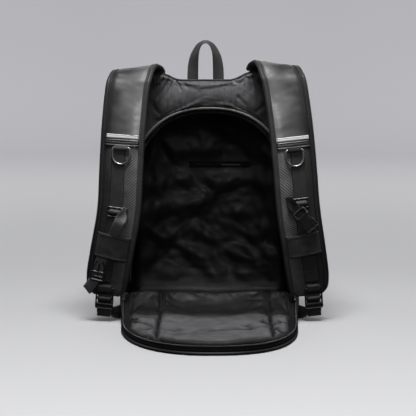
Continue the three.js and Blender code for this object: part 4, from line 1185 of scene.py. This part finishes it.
# The lining: a thin glossy bag that hangs in folds, with a zipped pocket on its far wall
lining = {"inset": 3.8, "frontY": -103, "backY": 88, "rows": 40, "farRings": 46, "thick": 0.9,
          "fold": 5.5, "hang": 1.6, "pleats": 0.9, "lumps": 9, "crumple": 1.5,
          "rings": [(0.92, 101), (0.89, 104.5), (0.85, 107.5), (0.76, 111.4), (0.66, 114.5), (0.52, 117),
                    (0.37, 118.5), (0.2, 119.2), (0.05, 119.5)],  # share of the outline, depth
          "pocket": {"x": (-40, 112), "z": 270, "y": 117, "pull": (24, 61)}}


def hangingRow(y):
    # the lining's outline at a depth, with hanging folds, and pleats on the right
    row = bagOutline(y, lining["inset"])
    made = []
    for j, p in enumerate(row):
        hold = smooth(y, -102, -80) * smooth(p.z, 6, 50)
        hang = max(wander(y / 26 + p.z / 160, p.z / 75, p.x / 120, 21), -0.15) + 0.15
        pleats = max(math.sin(y / 8.5 + p.z / 37), 0) * smooth(p.x, 90, 140)
        pleats *= smooth(p.z, 110, 180)
        pleats *= 1 - smooth(p.z, 270, 330)
        fold = lining["fold"] * lining["hang"] * hang + lining["fold"] * (pleats * lining["pleats"])
        made.append(p - outAt(row, j) * hold * fold)
    return made


def farWallRing(share, y):
    # one ring of the lining's far wall, crumpled except round the pocket
    ring = []
    slack = smooth(1 - share, 0.05, 0.25)
    for p in bagOutline(bag["seamY"]):
        q = Vector((p.x * share, y, lerp(bag["middleZ"], p.z, share)))
        lump = max(wander(q.x / 44 + q.z / 90, q.z / 36, 0, 22), -0.2) + 0.2
        welt = bump(q.z, lining["pocket"]["z"], 20) * smooth(q.x, -75, -35) * (1 - smooth(q.x, 105, 135))
        crumple = lining["crumple"] * wander(q.x / 14, q.z / 12, 0, 23)
        q.y -= slack * (lining["lumps"] * lump + crumple) * (1 - welt)
        ring.append(q)
    return ring


def makeLining():
    rows = [hangingRow(y) for y in spread(lining["frontY"], lining["backY"], lining["rows"])]
    rows += [farWallRing(share, y) for share, y in fineRings(lining["rings"], lining["farRings"])]
    inside = [p for row in rows for p in row]
    outside = [p + (p - bagMiddle).normalized() * lining["thick"] for p in inside]
    faces = doubleSkin(len(rows), columnCount, flip=True)
    outwards(makePiece("bag_lining", inside + outside, faces, taffeta, ["lining"]))


def pocketLine(y):
    # the way of the pocket's zip across the far wall
    own = lining["pocket"]
    return [Vector((x, y, own["z"] + 1.5 * wander(x / 40, 0, 0, 27))) for x in spread(*own["x"], 40)]


def makePocketZip():
    # a zipped pocket let into the far wall, its pull lying along the tape
    own = lining["pocket"]
    path = pocketLine(own["y"])
    across = [Vector((0, 0, 1))] * len(path)
    makeRibbon("pocket_zip_tape", path, across, 6, 1.2, zipTape)
    start, end = own["pull"]
    pull = []
    for x in spread(start, end, 16):
        pull.append(Vector((x, own["y"] - 4.2 - 1.2 * math.sin((x - start) / 12), own["z"] - 0.6)))
    makePipingLoop("pocket_pull", pull, 1.7, greyPiping, closed=False)


makeSides()
makeOuterFace()
makeBackSeam()
makeYoke()
makeOpeningTrim()
makeLining()
makePocketZip()
print("bag made")

# The flap: the back panel folded down on the ground, with a quilted lining and the zip round its edge
flap = {
    "hingeY": -114.4, "hingeTop": 50, "hingeUnder": 36, "straight": 108, "nose": 226, "half": 158,
    "power": {-1: 2.3, 1: 2.7},  # the left corner is rounder than the right
    "taper": 0.1, "ramp": 74, "rim": 13, "crown": 17, "crownWide": 34, "zipTop": 16, "fill": 0.5,
    "channels": (-89, 107),  # sewn lines of the lining, in millimetres from the middle
    "quiltEdge": 0.935, "quiltNose": 0.972, "puff": 9.5, "ruck": 2.8, "crumple": 1.1, "pucker": 0.9,
    "tapeOut": 1.4, "tapeUp": 11.4, "tapeHalf": 4.9, "tapeThick": 1.4,
    "rollOut": 3.4, "rollUp": 3.2, "roll": 2.9,
    "grow": 0.02, "pressure": 0.5, "cap": 4,
    "kept": 0.9, "keptTo": (170, 280),  # near the hinge the lining is taut, and painted dark for the shadow that falls there
    "creases": [((-150, -240), (-88, -243), 6.5, 13.0), ((-136, -262), (-89, -330), 5.0, 8.0),
                ((-146, -300), (-112, -382), 5.0, 8.0), ((-112, -330), (-90, -345), 3.5, 10.0),
                ((-120, -200), (-92, -206), 3.0, 9.0), ((-80, -352), (60, -344), 4.0, 9.0),
                ((60, -344), (104, -322), 4.5, 10.0), ((-70, -378), (40, -372), 2.4, 8.0),
                ((104, -206), (146, -198), 6.5, 13.0), ((108, -284), (150, -270), 6.0, 12.0),
                ((84, -270), (108, -300), 5.0, 9.0), ((112, -330), (140, -372), 5.0, 9.0),
                ((64, -300), (76, -330), 3.5, 8.0)],
}


def flapReach(v, outset=0.0):
    power = flap["power"][-1 if v < 0 else 1]
    nose = max(1 - abs(v) ** power, 0) ** (1 / power)
    return flap["straight"] + (flap["nose"] + outset) * nose


def flapDown(reach):
    return smooth(reach, 0, flap["ramp"])


def flapTaper(reach):
    return 1 - flap["taper"] * reach / (flap["straight"] + flap["nose"])


def flapTop(v, reach, nose, lift=0.0):
    noseReach = flapReach(v) - flap["straight"]
    run = reach + nose * noseReach
    inside = min((1 - abs(v)) * flap["half"], (1 - nose) * (noseReach + flap["crownWide"]))
    height = lerp(flap["rim"], flap["crown"], smooth(inside, 0, flap["crownWide"]))
    z = lerp(flap["hingeTop"] + height - flap["crown"], height, flapDown(run))
    return Vector((v * flap["half"] * flapTaper(run), flap["hingeY"] - run, z + lift))


def flapEdge(outset, height):
    # the flap's edge from the hinge round the nose to the hinge, set out from its outline
    side = spread(12, flap["straight"], 34)[:-1]
    columns = [math.sin(f * math.pi / 2) for f in spread(-1, 1, 150)]
    wide = flap["half"] + outset
    plan = [(-wide, reach) for reach in side]
    plan += [(v * wide, flapReach(v, outset)) for v in columns]
    plan += [(wide, reach) for reach in reversed(side)]
    edge = []
    for x, reach in plan:
        under = lerp(flap["hingeUnder"], 0, flapDown(reach))
        edge.append(Vector((x * flapTaper(reach), flap["hingeY"] - reach, under + height)))
    return edge


def flapRows(first, lastNose, straightCount, noseCount):
    # rows from the hinge: reach along the straight part, then share of the nose
    rows = [(reach, 0.0) for reach in spread(first, flap["straight"], straightCount)]
    return rows + [(flap["straight"], nose) for nose in spread(0, lastNose, noseCount)[1:]]


def makeFlapBody():
    columns = [math.sin(f * math.pi / 2) for f in spread(-1, 1, 60)]
    rows = flapRows(0, 1.0, 18, 30)
    top, under = [], []
    for reach, nose in rows:
        for v in columns:
            p = flapTop(v, reach, nose)
            top.append(p)
            low = lerp(flap["hingeUnder"], 0, flapDown(flap["hingeY"] - p.y))
            under.append(Vector((p.x, p.y, low)))
    faces = slabFaces(len(rows), len(columns))
    piece = outwards(makePiece("flap_body", top + under, faces, flapCloth, ["flap"]))


def fullness(share):
    # a pad's height beside a seam, round like a cushion's side
    share = min(max(share, 0), 1)
    return math.sqrt(share * (2 - share))


def makeFlapLining():
    edge = flap["quiltEdge"]
    columns = [edge * math.sin(f * math.pi / 2) for f in spread(-1, 1, 130)]
    rows = flapRows(9, flap["quiltNose"], 40, 80)
    points, sewn, folds, uv = [], [], [], []
    for i, (reach, nose) in enumerate(rows):
        for v in columns:
            p = flapTop(v, reach, nose)
            channel = min(abs(p.x - x) for x in flap["channels"])
            border = min((edge - abs(v)) * flap["half"], i * 2.4, (len(rows) - 1 - i) * 2.1)
            puff = flap["puff"] * fullness(border / 14) * fullness(channel / 13)
            fold = sum(creaseDepth(p.x, p.y, crease) for crease in flap["creases"])
            ruck = flap["ruck"] * wander(p.x / 48, p.y / 21, 0, 31)
            ruck += flap["crumple"] * wander(p.x / 15, p.y / 9, 0, 32)
            pucker = flap["pucker"] * wander(p.y / 5, p.x / 60, 0, 33) * bump(channel, 4, 5)
            away = smooth(-p.y, *flap["keptTo"])
            slack = lerp(0.35, 1, away) * (ruck + pucker)
            p.z += 0.6 + puff + slack * smooth(border, 2, 20) * smooth(channel, 1, 10)
            folds.append(1.5 * fold * smooth(border, 2, 12))
            # painted shade: the quilt darkens in its channels, at its border, in its folds and near the hinge
            uv.append((min(channel * 1.4, border, 12 - 2.2 * fold, lerp(flap["kept"], 12, away)), p.y))
            points.append(p)
            sewn.append(1.0 if border < 1.5 or channel < 1.6 else 0.0)
    faces = gridFaces(len(rows), len(columns))
    settled = settleCloth(points, faces, sewn, flap["grow"], flap["pressure"], flap["cap"])
    base = [flapTop(v, reach, nose, 0.4) for reach, nose in rows for v in columns]
    top = [Vector((p.x, p.y, max(p.z - fold, q.z + 0.5))) for p, q, fold in zip(settled, base, folds)]
    faces = slabFaces(len(rows), len(columns))
    piece = outwards(makePiece("flap_quilt", top + base, faces, quiltTaffeta,
                               ["flap_lining"], uv=uv + uv))


def makeFlapTrim():
    edge = flapEdge(flap["tapeOut"], flap["tapeUp"])
    across = [Vector((0, 0, 1))] * len(edge)
    makeRibbon("flap_zip_tape", edge, across, flap["tapeHalf"], flap["tapeThick"], zipTape,
               ["flap_zip"])
    cord = flapEdge(flap["rollOut"], flap["rollUp"])
    makePipingLoop("flap_roll", cord, flap["roll"], darkPiping, ["flap_piping"], closed=False)


# The grab handle: webbing that lies flat on the top seam and twists so that its crest is edge on
handle = {
    "y": -103, "half": 10, "thick": 1.9, "tilt": 16, "highest": 513.2,
    # place across, height, turn
    "sections": [(-31, 443, 0), (-30.4, 465, -16), (-28.6, 482, -36), (-25.2, 495, -55), (-20.4, 505, -70),
                 (-14.4, 511, -82), (-7.3, 513.4, -90), (-0.2, 511, -98), (5.8, 505, -110), (10.6, 495, -125),
                 (14, 482, -144), (15.8, 465, -164), (16.5, 443, -180)],
}


def makeHandle():
    path, across = [], []
    for t in spread(0, len(handle["sections"]) - 1, 120):
        x, z, turn = (spline([row[k] for row in handle["sections"]], t) for k in range(3))
        a, tilt = math.radians(turn), math.radians(handle["tilt"])
        path.append(Vector((x, handle["y"], min(z, handle["highest"]))))
        across.append(Vector((math.cos(a), math.sin(a) * math.cos(tilt), -abs(math.sin(a)) * math.sin(tilt))))
    makeRibbon("grab_handle", path, across, handle["half"], handle["thick"], webbingCloth,
               ["handle"])


makeFlapBody()
makeFlapLining()
makeFlapTrim()
makeHandle()
print("flap and handle made")

# Moulded hardware: solids run together and their edges rounded, as a mould leaves them


def prismSolid(corners, low, high):
    # an outline in X and Y raised between two heights
    count = len(corners)
    points = [Vector((x, y, low)) for x, y in corners] + [Vector((x, y, high)) for x, y in corners]
    faces = [list(range(count))[::-1], [count + k for k in range(count)]]
    faces += [[k, (k + 1) % count, count + (k + 1) % count, count + k] for k in range(count)]
    return points, faces


def boxSolid(x0, x1, y0, y1, z0, z1):
    return prismSolid([(x0, y0), (x1, y0), (x1, y1), (x0, y1)], z0, z1)


def rodSolid(path, radius, flat=1.0):
    # a rounded bar along a path, flattened in Z
    path = smoothPath(path, 4 * (len(path) - 1)) if len(path) > 2 else [Vector(p) for p in path]
    ends = tangents(path)
    path = [path[0] - ends[0] * radius * 0.6] + path + [path[-1] + ends[-1] * radius * 0.6]
    scales = [0.55] + [1.0] * (len(path) - 2) + [0.55]
    points = []
    for p, ahead, scale in zip(path, tangents(path), scales):
        side = ahead.cross(Vector((0, 0, 1))).normalized()
        for k in range(10):
            a = 2 * math.pi * k / 10
            up = Vector((0, 0, radius * flat * scale * math.sin(a)))
            points.append(p + side * radius * scale * math.cos(a) + up)
    return points, tubeFaces(len(path), 10)


def mould(name, frameAt, solids, material, replaces, voxel=0.55, relax=4):
    points, faces = [], []
    for solidPoints, solidFaces in solids:
        start = len(points)
        points += solidPoints
        faces += [[start + k for k in face] for face in solidFaces]
    piece = outwards(makePiece(name, points, faces, material, replaces))
    remesh = piece.modifiers.new("run together", "REMESH")
    remesh.mode = "VOXEL"
    remesh.voxel_size = voxel * mm
    rounding = piece.modifiers.new("round", "SMOOTH")
    rounding.factor = 0.5
    rounding.iterations = relax
    bakeModifiers(piece)
    place = Matrix.Scale(mm, 4) @ frameAt @ Matrix.Scale(1 / mm, 4)
    piece.data.transform(place)
    piece.data.polygons.foreach_set("use_smooth", [True] * len(piece.data.polygons))
    return piece


def mirrorCorners(right):
    return right + [(-x, y) for x, y in reversed(right)]


slider = {"thick": 3.2, "over": 2.5, "bars": (-8.3, 0, 8.3), "bar": 1.9, "rails": (-13, 13), "rail": 1.7,
          "humpHalf": 10.8, "humpThick": 1.6}
chestPlaces = {
    "left": {"sliderZ": 209, "sliderAcross": 6, "buckleZ": 100, "buckleAcross": 17, "lift": 7.0},
    "right": {"sliderZ": 225, "sliderAcross": 5, "buckleZ": 197.5, "buckleAcross": 8, "lift": 12.9,
              "turn": -147},
}


def makeSlider(side):
    # a ladder with two slots for the strap's webbing and an eye for the chest strap
    own = chestPlaces[side]
    frameAt = strapFrame(side, own["sliderZ"], own["sliderAcross"], slider["over"] + slider["thick"] / 2)
    inner = -sides[side]["sign"]
    solids = []
    for y in slider["bars"]:
        solids.append(rodSolid([(-12.8, y, 0.2), (12.8, y, 0.2)], slider["bar"]))
    for x in slider["rails"]:
        solids.append(rodSolid([(x, -8.5, 0), (x, 8.5, 0)], slider["rail"]))
    eye = [(14, 8.3, 0), (20.6, 8.6, 0.2), (21.6, 2, 0.4), (20.6, -4.6, 0.2), (14, -4.4, 0)]
    solids.append(rodSolid([(inner * x, y, z) for x, y, z in eye], slider["rail"]))
    mould(f"chest_slider_{side}", frameAt, solids, acetal, [f"sternum_slider_{side}"])
    hump = [(-9.5, -1.7), (-6.4, -1.2), (-4.2, 1.2), (-1.8, 3.0), (0.8, 3.1), (3.4, 1.4), (5.8, -1.2),
            (9, -1.7)]
    path = [frameAt @ p for p in smoothPath([(0, y, z) for y, z in hump], 40)]
    across = [frameAt.to_3x3() @ Vector((1, 0, 0))] * len(path)
    makeRibbon(f"slider_hump_{side}", path, across, slider["humpHalf"], slider["humpThick"], webbingCloth)


def makeProngs():
    # the half with the prongs: ladder bars below, a guide in the middle, an arm on each side
    own = chestPlaces["left"]
    frameAt = strapFrame("left", own["buckleZ"], own["buckleAcross"], own["lift"])
    solids = []
    for y, z, radius in ((-20.4, 0.5, 2.3), (-13, 0, 2.0), (-4, 0, 2.4)):
        solids.append(rodSolid([(-11, y, z), (11, y, z)], radius))
    arm = [(10.8, -3, 0), (10.4, 4, 0), (9.2, 10, 0), (5.6, 17, 0)]
    blade = [(8.8, 3), (12.2, 4), (11, 10), (6.4, 18.4), (4.4, 17), (7.6, 10)]
    for sign in (-1, 1):
        solids.append(rodSolid([(sign * 11.7, -20.5, 0), (sign * 11.7, -3.5, 0)], 1.9))
        solids.append(rodSolid([(sign * x, y, z) for x, y, z in arm], 1.7))
        solids.append(prismSolid([(sign * x, y) for x, y in blade][::sign], -2.2, 2.2))
    solids.append(boxSolid(-1.9, 1.9, -4, 15.5, -1.5, 1.5))
    mould("buckle_prong_half", frameAt, solids, acetal, ["buckle_prongs"])


def makeSocket():
    # the half with the socket: a hollow shell with waisted sides, open at its mouth
    own = chestPlaces["right"]
    frameAt = strapFrame("right", own["buckleZ"], own["buckleAcross"], own["lift"])
    frameAt = frameAt @ Matrix.Rotation(math.radians(own["turn"]), 4, "Z")
    waist = mirrorCorners([(12, -10), (11.8, -7), (9.2, -3.5), (9.4, 4), (12.6, 9), (13.3, 15), (13.3, 22)])
    solids = [prismSolid(waist, 3.3, 4.7), prismSolid(waist, -4.7, -3.3)]
    wall = [(10.6, 8.5), (12.6, 9), (13.4, 15), (13.4, 22), (11.2, 22), (11.2, 14)]
    for sign in (-1, 1):
        solids.append(prismSolid([(sign * x, y) for x, y in wall][::sign], -4.7, 4.7))
        solids.append(rodSolid([(sign * 11, -20, 0), (sign * 11, -8, 0)], 2.2, 1.5))
        solids.append(rodSolid([(sign * 5.5, 12, 4.6), (sign * 5.5, 20, 4.6)], 0.8))
    solids.append(boxSolid(-11.5, 11.5, -10.5, -4.5, -4.7, 4.7))
    solids.append(rodSolid([(-11, -20.5, 0), (11, -20.5, 0)], 2.3, 1.3))
    for z in (4.4, -4.4):
        solids.append(rodSolid([(-12.6, 21.6, z), (12.6, 21.6, z)], 1.0))
    mould("buckle_socket_half", frameAt, solids, acetal, ["buckle_socket"])


lock = {"wide": 33, "tall": 42, "thick": 4.5, "bar": 5, "rail": 3, "tabHalf": 12.2, "z": 62, "lift": 3.2,
        "drop": 14, "across": {"left": 2, "right": 7}, "midBar": -0.8, "lastBar": -12, "webbing": 1.7,
        "corner": [(164.5, -112.5, 14.2), (173, -123, 13)]}  # where the lower webbing leaves the bag


def makeLadderLock(side):
    # a ladder of bars below the strap's end: a webbing tab above, the lower webbing round its last bar
    sign = sides[side]["sign"]
    frameAt = strapFrame(side, lock["z"], lock["across"][side], lock["thick"] / 2 + lock["lift"])
    frameAt = frameAt @ Matrix.Translation((0, -lock["drop"], 0))
    half, tall = lock["wide"] / 2, lock["tall"] / 2
    inside = half - lock["rail"]
    rail = [(inside, -tall + 1), (half - 0.6, -tall + 1), (half, -tall + 3), (half, tall - 3),
            (half - 1.2, tall), (inside, tall)]
    solids = []
    for s in (-1, 1):
        solids.append(prismSolid([(s * x, y) for x, y in rail][::s], -2.3, 2.3))
    mid, last = lock["midBar"], lock["lastBar"]
    solids += [rodSolid([(-inside, tall - 2.5, 0), (inside, tall - 2.5, 0)], 2.5),
               rodSolid([(-inside, mid, 0), (inside, mid, 0)], 2.6, 0.95),
               rodSolid([(-half + 2.4, last, 0.8), (half - 2.4, last, 0.8)], 2.7),
               prismSolid([(-half + 1, -tall), (half - 1, -tall), (half, last), (-half, last)], 0.6, 2.4),
               rodSolid([(-half + 2, -tall + 0.4, 2.0), (half - 2, -tall + 0.4, 2.0)], 1.4)]
    mould(f"ladder_{side}", frameAt, solids, acetal, [f"ladder_lock_{side}"])
    radius = lock["thick"] / 2 + 1.35
    turned = frameAt.to_3x3()
    tab = [frameAt @ Vector(p) for p in hairpin(tall - lock["bar"] - 0.3, radius, 25, 26)]
    across = [turned @ Vector((1, 0, 0))] * len(tab)
    makeRibbon(f"ladder_tab_loop_{side}", tab, across, lock["tabHalf"], lock["webbing"], webbingCloth,
               [f"ladder_tab_{side}"])
    # from the bag's corner up behind the ladder, over its middle bar, down behind its last bar to a loose end
    run = [(-34, -8), (-22, -6.8), (-8, -6.2), (3, -5.4), (mid + 6.2, -2.8)]
    for turn in (0, 40, 80, 120):
        a = math.radians(turn)
        run.append((mid + 3.8 * math.cos(a), 3.8 * math.sin(a)))
    run += [(-6.8, -0.4), (-10, -3.2), (-16, -3.8), (-24, -3.2), (-32, -2.0), (-38, -1.2)]
    path = [frameAt @ Vector((0, y, z)) for y, z in run]
    lead = [Vector((sign * x, y, z)) for x, y, z in lock["corner"]]
    across = turned @ Vector((sign, 0, 0))
    widths = [Vector((0, 0, 1)), Vector((0, 0, 1)).lerp(across, 0.5)] + [across] * len(path)
    route = lead + path
    fine = smoothPath(route, 6 * (len(route) - 1))
    wide = smoothPath(widths, 6 * (len(route) - 1))
    makeRibbon(f"lower_strap_{side}", fine, wide, lock["tabHalf"], lock["webbing"], webbingCloth,
               [f"lower_webbing_{side}"])


def makeZipSlider(side):
    # a slider at each end of the flap's zip, its pull lying along the edge
    sign = sides[side]["sign"]
    edge = [p for p in flapEdge(1.2, flap["zipTop"]) if p.x * sign > 0]
    edge.sort(key=lambda p: -p.y)
    at = edge[1]
    slope = math.atan2(edge[4].z - edge[0].z, -(edge[4].y - edge[0].y))
    frameAt = Matrix.Translation(at) @ Matrix.Rotation(-slope, 4, "X")
    solids = [prismSolid(mirrorCorners([(2.6, -6), (4.6, -2), (4.6, 4), (3, 6)]), 1.1, 2.6),
              prismSolid(mirrorCorners([(1.6, -5), (2.4, 0), (1.6, 5)]), 2.2, 4.2),
              rodSolid([(-1.5, -3, 4.2), (1.5, -3, 4.2)], 0.9)]
    pull = [(-2.2, -4, 4.4), (-2.6, -14, 4.2), (-2, -20, 4.0), (2, -20, 4.0), (2.6, -14, 4.2), (2.2, -4, 4.4)]
    solids += [rodSolid(pull, 0.8), boxSolid(-2.4, 2.4, -20, -9, 3.4, 4.6)]
    mould(f"zip_pull_{side}", frameAt, solids, gunmetal, [f"zip_slider_{side}"], voxel=0.4,
          relax=2)


for side in sides:
    makeSlider(side)
    makeLadderLock(side)
    makeZipSlider(side)
makeProngs()
makeSocket()
print("hardware made")

# Stitches and zip coils: one node tree lays small bars along paths, each in the direction kept with the path
sewing = {
    "stitch": {"Spacing": 4.2, "Length": 3.1, "Radius": 0.38, "Seed": 7},
    "coil": {"Spacing": 2.0, "Length": 4.2, "Radius": 0.72, "Seed": 11},
    "hemRows": (5.7, 10.6), "reflectorRows": (16.9, 22.2),  # heights over the ring's bar
    "bandReach": 0.74, "keeperReach": 0.72, "keeperSide": 0.755, "strapHalf": 38, "lift": 0.15,
}


def makeRowTree():
    tree = bpy.data.node_groups.new("sewn row", "GeometryNodeTree")
    sockets = tree.interface
    sockets.new_socket("Geometry", in_out="INPUT", socket_type="NodeSocketGeometry")
    for name in ("Spacing", "Length", "Radius"):
        sockets.new_socket(name, in_out="INPUT", socket_type="NodeSocketFloat")
    sockets.new_socket("Seed", in_out="INPUT", socket_type="NodeSocketInt")
    sockets.new_socket("Material", in_out="INPUT", socket_type="NodeSocketMaterial")
    sockets.new_socket("Geometry", in_out="OUTPUT", socket_type="NodeSocketGeometry")
    given = addNode(tree, "NodeGroupInput")
    curve = addNode(tree, "GeometryNodeMeshToCurve", {"Mesh": given.outputs["Geometry"]})
    even = addNode(tree, "GeometryNodeResampleCurve",
                   {"Curve": curve.outputs[0], "Length": given.outputs["Spacing"]}, mode="LENGTH")
    lay = addNode(tree, "GeometryNodeInputNamedAttribute", {"Name": "lay"}, data_type="FLOAT_VECTOR")
    turn = addNode(tree, "FunctionNodeAlignRotationToVector", {"Vector": lay.outputs["Attribute"]}, axis="Z")
    bar = addNode(tree, "GeometryNodeMeshCylinder",
                  {"Vertices": 6, "Radius": given.outputs["Radius"], "Depth": given.outputs["Length"]})
    uneven = addNode(tree, "FunctionNodeRandomValue", {2: 0.92, 3: 1.06, "Seed": given.outputs["Seed"]},
                     data_type="FLOAT")
    size = addNode(tree, "ShaderNodeCombineXYZ", {"X": 1.0, "Y": 1.0, "Z": uneven.outputs[1]})
    placed = addNode(tree, "GeometryNodeInstanceOnPoints",
                     {"Points": even.outputs[0], "Instance": bar.outputs["Mesh"], "Rotation": turn.outputs[0],
                      "Scale": size.outputs[0]})
    real = addNode(tree, "GeometryNodeRealizeInstances", {"Geometry": placed.outputs[0]})
    painted = addNode(tree, "GeometryNodeSetMaterial",
                      {"Geometry": real.outputs[0], "Material": given.outputs["Material"]})
    addNode(tree, "NodeGroupOutput", {"Geometry": painted.outputs[0]})
    return tree


rowTree = makeRowTree()


def layRows(name, kind, paths, material, lays=None):
    # every path of one piece becomes a row of bars, along the path unless other directions are given
    points, edges, directions = [], [], []
    for k, path in enumerate(paths):
        edges += [(len(points) + i, len(points) + i + 1) for i in range(len(path) - 1)]
        directions += lays[k] if lays else tangents(path)
        points += path
    mesh = bpy.data.meshes.new(name)
    mesh.from_pydata([Vector(p) * mm for p in points], edges, [])
    field = mesh.attributes.new("lay", "FLOAT_VECTOR", "POINT")
    field.data.foreach_set("vector", [c for d in directions for c in Vector(d)])
    piece = bpy.data.objects.new(name, mesh)
    scene.collection.objects.link(piece)
    rowMaker = piece.modifiers.new("sewn row", "NODES")
    rowMaker.node_group = rowTree
    values = {key: value if key == "Seed" else value * mm for key, value in sewing[kind].items()}
    values["Material"] = material
    for socket in rowTree.interface.items_tree:
        if socket.in_out == "INPUT" and socket.name in values:
            rowMaker[socket.identifier] = values[socket.name]
    bakeModifiers(piece)
    piece.data.polygons.foreach_set("use_smooth", [True] * len(piece.data.polygons))
    return finishPiece(piece)


def onto(pieceName, paths):
    # paths drawn near a piece are laid on its skin
    mesh = bpy.data.objects[pieceName].data
    skin = BVHTree.FromPolygons([v.co / mm for v in mesh.vertices], [list(p.vertices) for p in mesh.polygons])
    laid = []
    for path in paths:
        found = [skin.find_nearest(Vector(p))[:2] for p in path]
        laid.append([spot + normal * sewing["lift"] for spot, normal in found])
    return laid


def strapRow(side, place, lift, columns):
    # a row across a strap at a height
    section = strapAt(side, place)
    return [onSection(section, v, lift) for v in columns]


def makeStrapStitches(side):
    stops = strapStops(side)[8:-8]
    grooves = [[onSection(strapSection(side, t), sign * binding["groove"], 0.4) for t, length in stops]
               for sign in (-1, 1)]
    paths = onto(f"strap_binding_{side}", grooves)
    bar = strap["barZ"][side]
    wide = spread(-sewing["bandReach"], sewing["bandReach"], 40)
    for name, rows in (("hem_roll", "hemRows"), ("reflective_strip", "reflectorRows")):
        paths += onto(f"{name}_{side}", [strapRow(side, bar + up, 3, wide) for up in sewing[rows]])
    paths += onto(f"elastic_keeper_{side}", keeperRows(side))
    paths += onto(f"centre_webbing_{side}", centreRows(side))
    layRows(f"strap_stitches_{side}", "stitch", paths, thread)


def keeperRows(side):
    # along the keeper's hems and down its two sides
    own = keepers[side]
    half = own["tall"] / 2
    wide = spread(-sewing["keeperReach"], sewing["keeperReach"], 40)
    rows = [strapRow(side, own["z"] + sign * (half - 3.2), 12, wide) for sign in (-1, 1)]
    for sign in (-1, 1):
        rows.append([onSection(strapAt(side, z), sign * sewing["keeperSide"], 8)
                     for z in spread(own["z"] - half + 2, own["z"] + half - 2, 30)])
    return rows


def centreRows(side):
    # down both edges of the centre webbing, and a crossed box at its end
    low, high = centreWebbing["lowZ"] + 4, centreWebbing["lowZ"] + 22
    reach = centreWebbing["half"] - 2
    inner, outer = centreWebbing["aside"] - reach, centreWebbing["aside"] + reach
    rows = []
    for edge in (inner, outer):
        rows.append([onSection(strapAt(side, z), edge / sewing["strapHalf"], 4)
                     for z in spread(low, strap["barZ"][side] - 8, 110)])
    crossed = [((low, inner), (high, outer)), ((high, inner), (low, outer)), ((low, inner), (low, outer)),
               ((high, inner), (high, outer))]
    for (z0, a0), (z1, a1) in crossed:
        rows.append([onSection(strapAt(side, lerp(z0, z1, f)), lerp(a0, a1, f) / sewing["strapHalf"], 4)
                     for f in spread(0, 1, 16)])
    return rows


def makeBagStitches():
    gusset = [bagOutline(y)[lowStart:columnCount - lowStart + 1] for y in (86, -99.5)]
    paths = onto("side_gusset", [[p * 1.03 for p in row] for row in gusset])
    share = 0.952
    face = [Vector((p.x * share, 116, lerp(bag["middleZ"], p.z, share))) for p in bagOutline(bag["seamY"])]
    paths += onto("outer_face", [face + face[:1]])
    arch = [Vector((x, bag["harnessY"] - 8, z)) for x, z in overArch(openingOutline(-6.5)) if z > 60]
    seam = [p for p in overArch(bagOutline(bag["frontY"])) if p.z > 330]
    top = [Vector((p.x * 0.965, bag["harnessY"] - 10, p.z - 6)) for p in seam]
    paths += onto("back_yoke", [arch, top])
    layRows("bag_stitches", "stitch", paths, thread)


def makeFlapStitches():
    rows = flapRows(14, 0.93, 40, 60)
    paths = []
    for x in flap["channels"]:
        line = []
        for reach, nose in rows:
            v = x / flap["half"]
            for k in range(4):
                v *= x / flapTop(v, reach, nose).x
            line.append(flapTop(v, reach, nose, 1.0))
        paths.append(line)
    edge = 0.925
    for sign in (-1, 1):
        paths.append([flapTop(sign * edge, reach, 0.0, 3.0) for reach in spread(14, flap["straight"], 30)])
    paths.append([flapTop(v, flap["straight"], 0.94, 3.0) for v in spread(-edge, edge, 120)])
    layRows("flap_stitches", "stitch", onto("flap_quilt", paths), thread)


def makeCoils():
    arch = [Vector((x, bag["backY"] + 0.4, z)) for x, z in overArch(openingOutline(10.2))]
    crossing = [Vector((ahead.z, 0, -ahead.x)) for ahead in tangents(arch)]
    layRows("arch_zip_coil", "coil", [arch], nylonCoil, [crossing])
    edge = flapEdge(2.5, 14.6)
    layRows("flap_zip_coil", "coil", [edge], nylonCoil, [[Vector((0, 0, 1))] * len(edge)])
    line = pocketLine(lining["pocket"]["y"] - 0.9)
    layRows("pocket_zip_coil", "coil", [line], nylonCoil, [[Vector((0, 0, 1))] * len(line)])


for side in sides:
    makeStrapStitches(side)
makeBagStitches()
makeFlapStitches()
makeCoils()
print("stitches and coils laid")
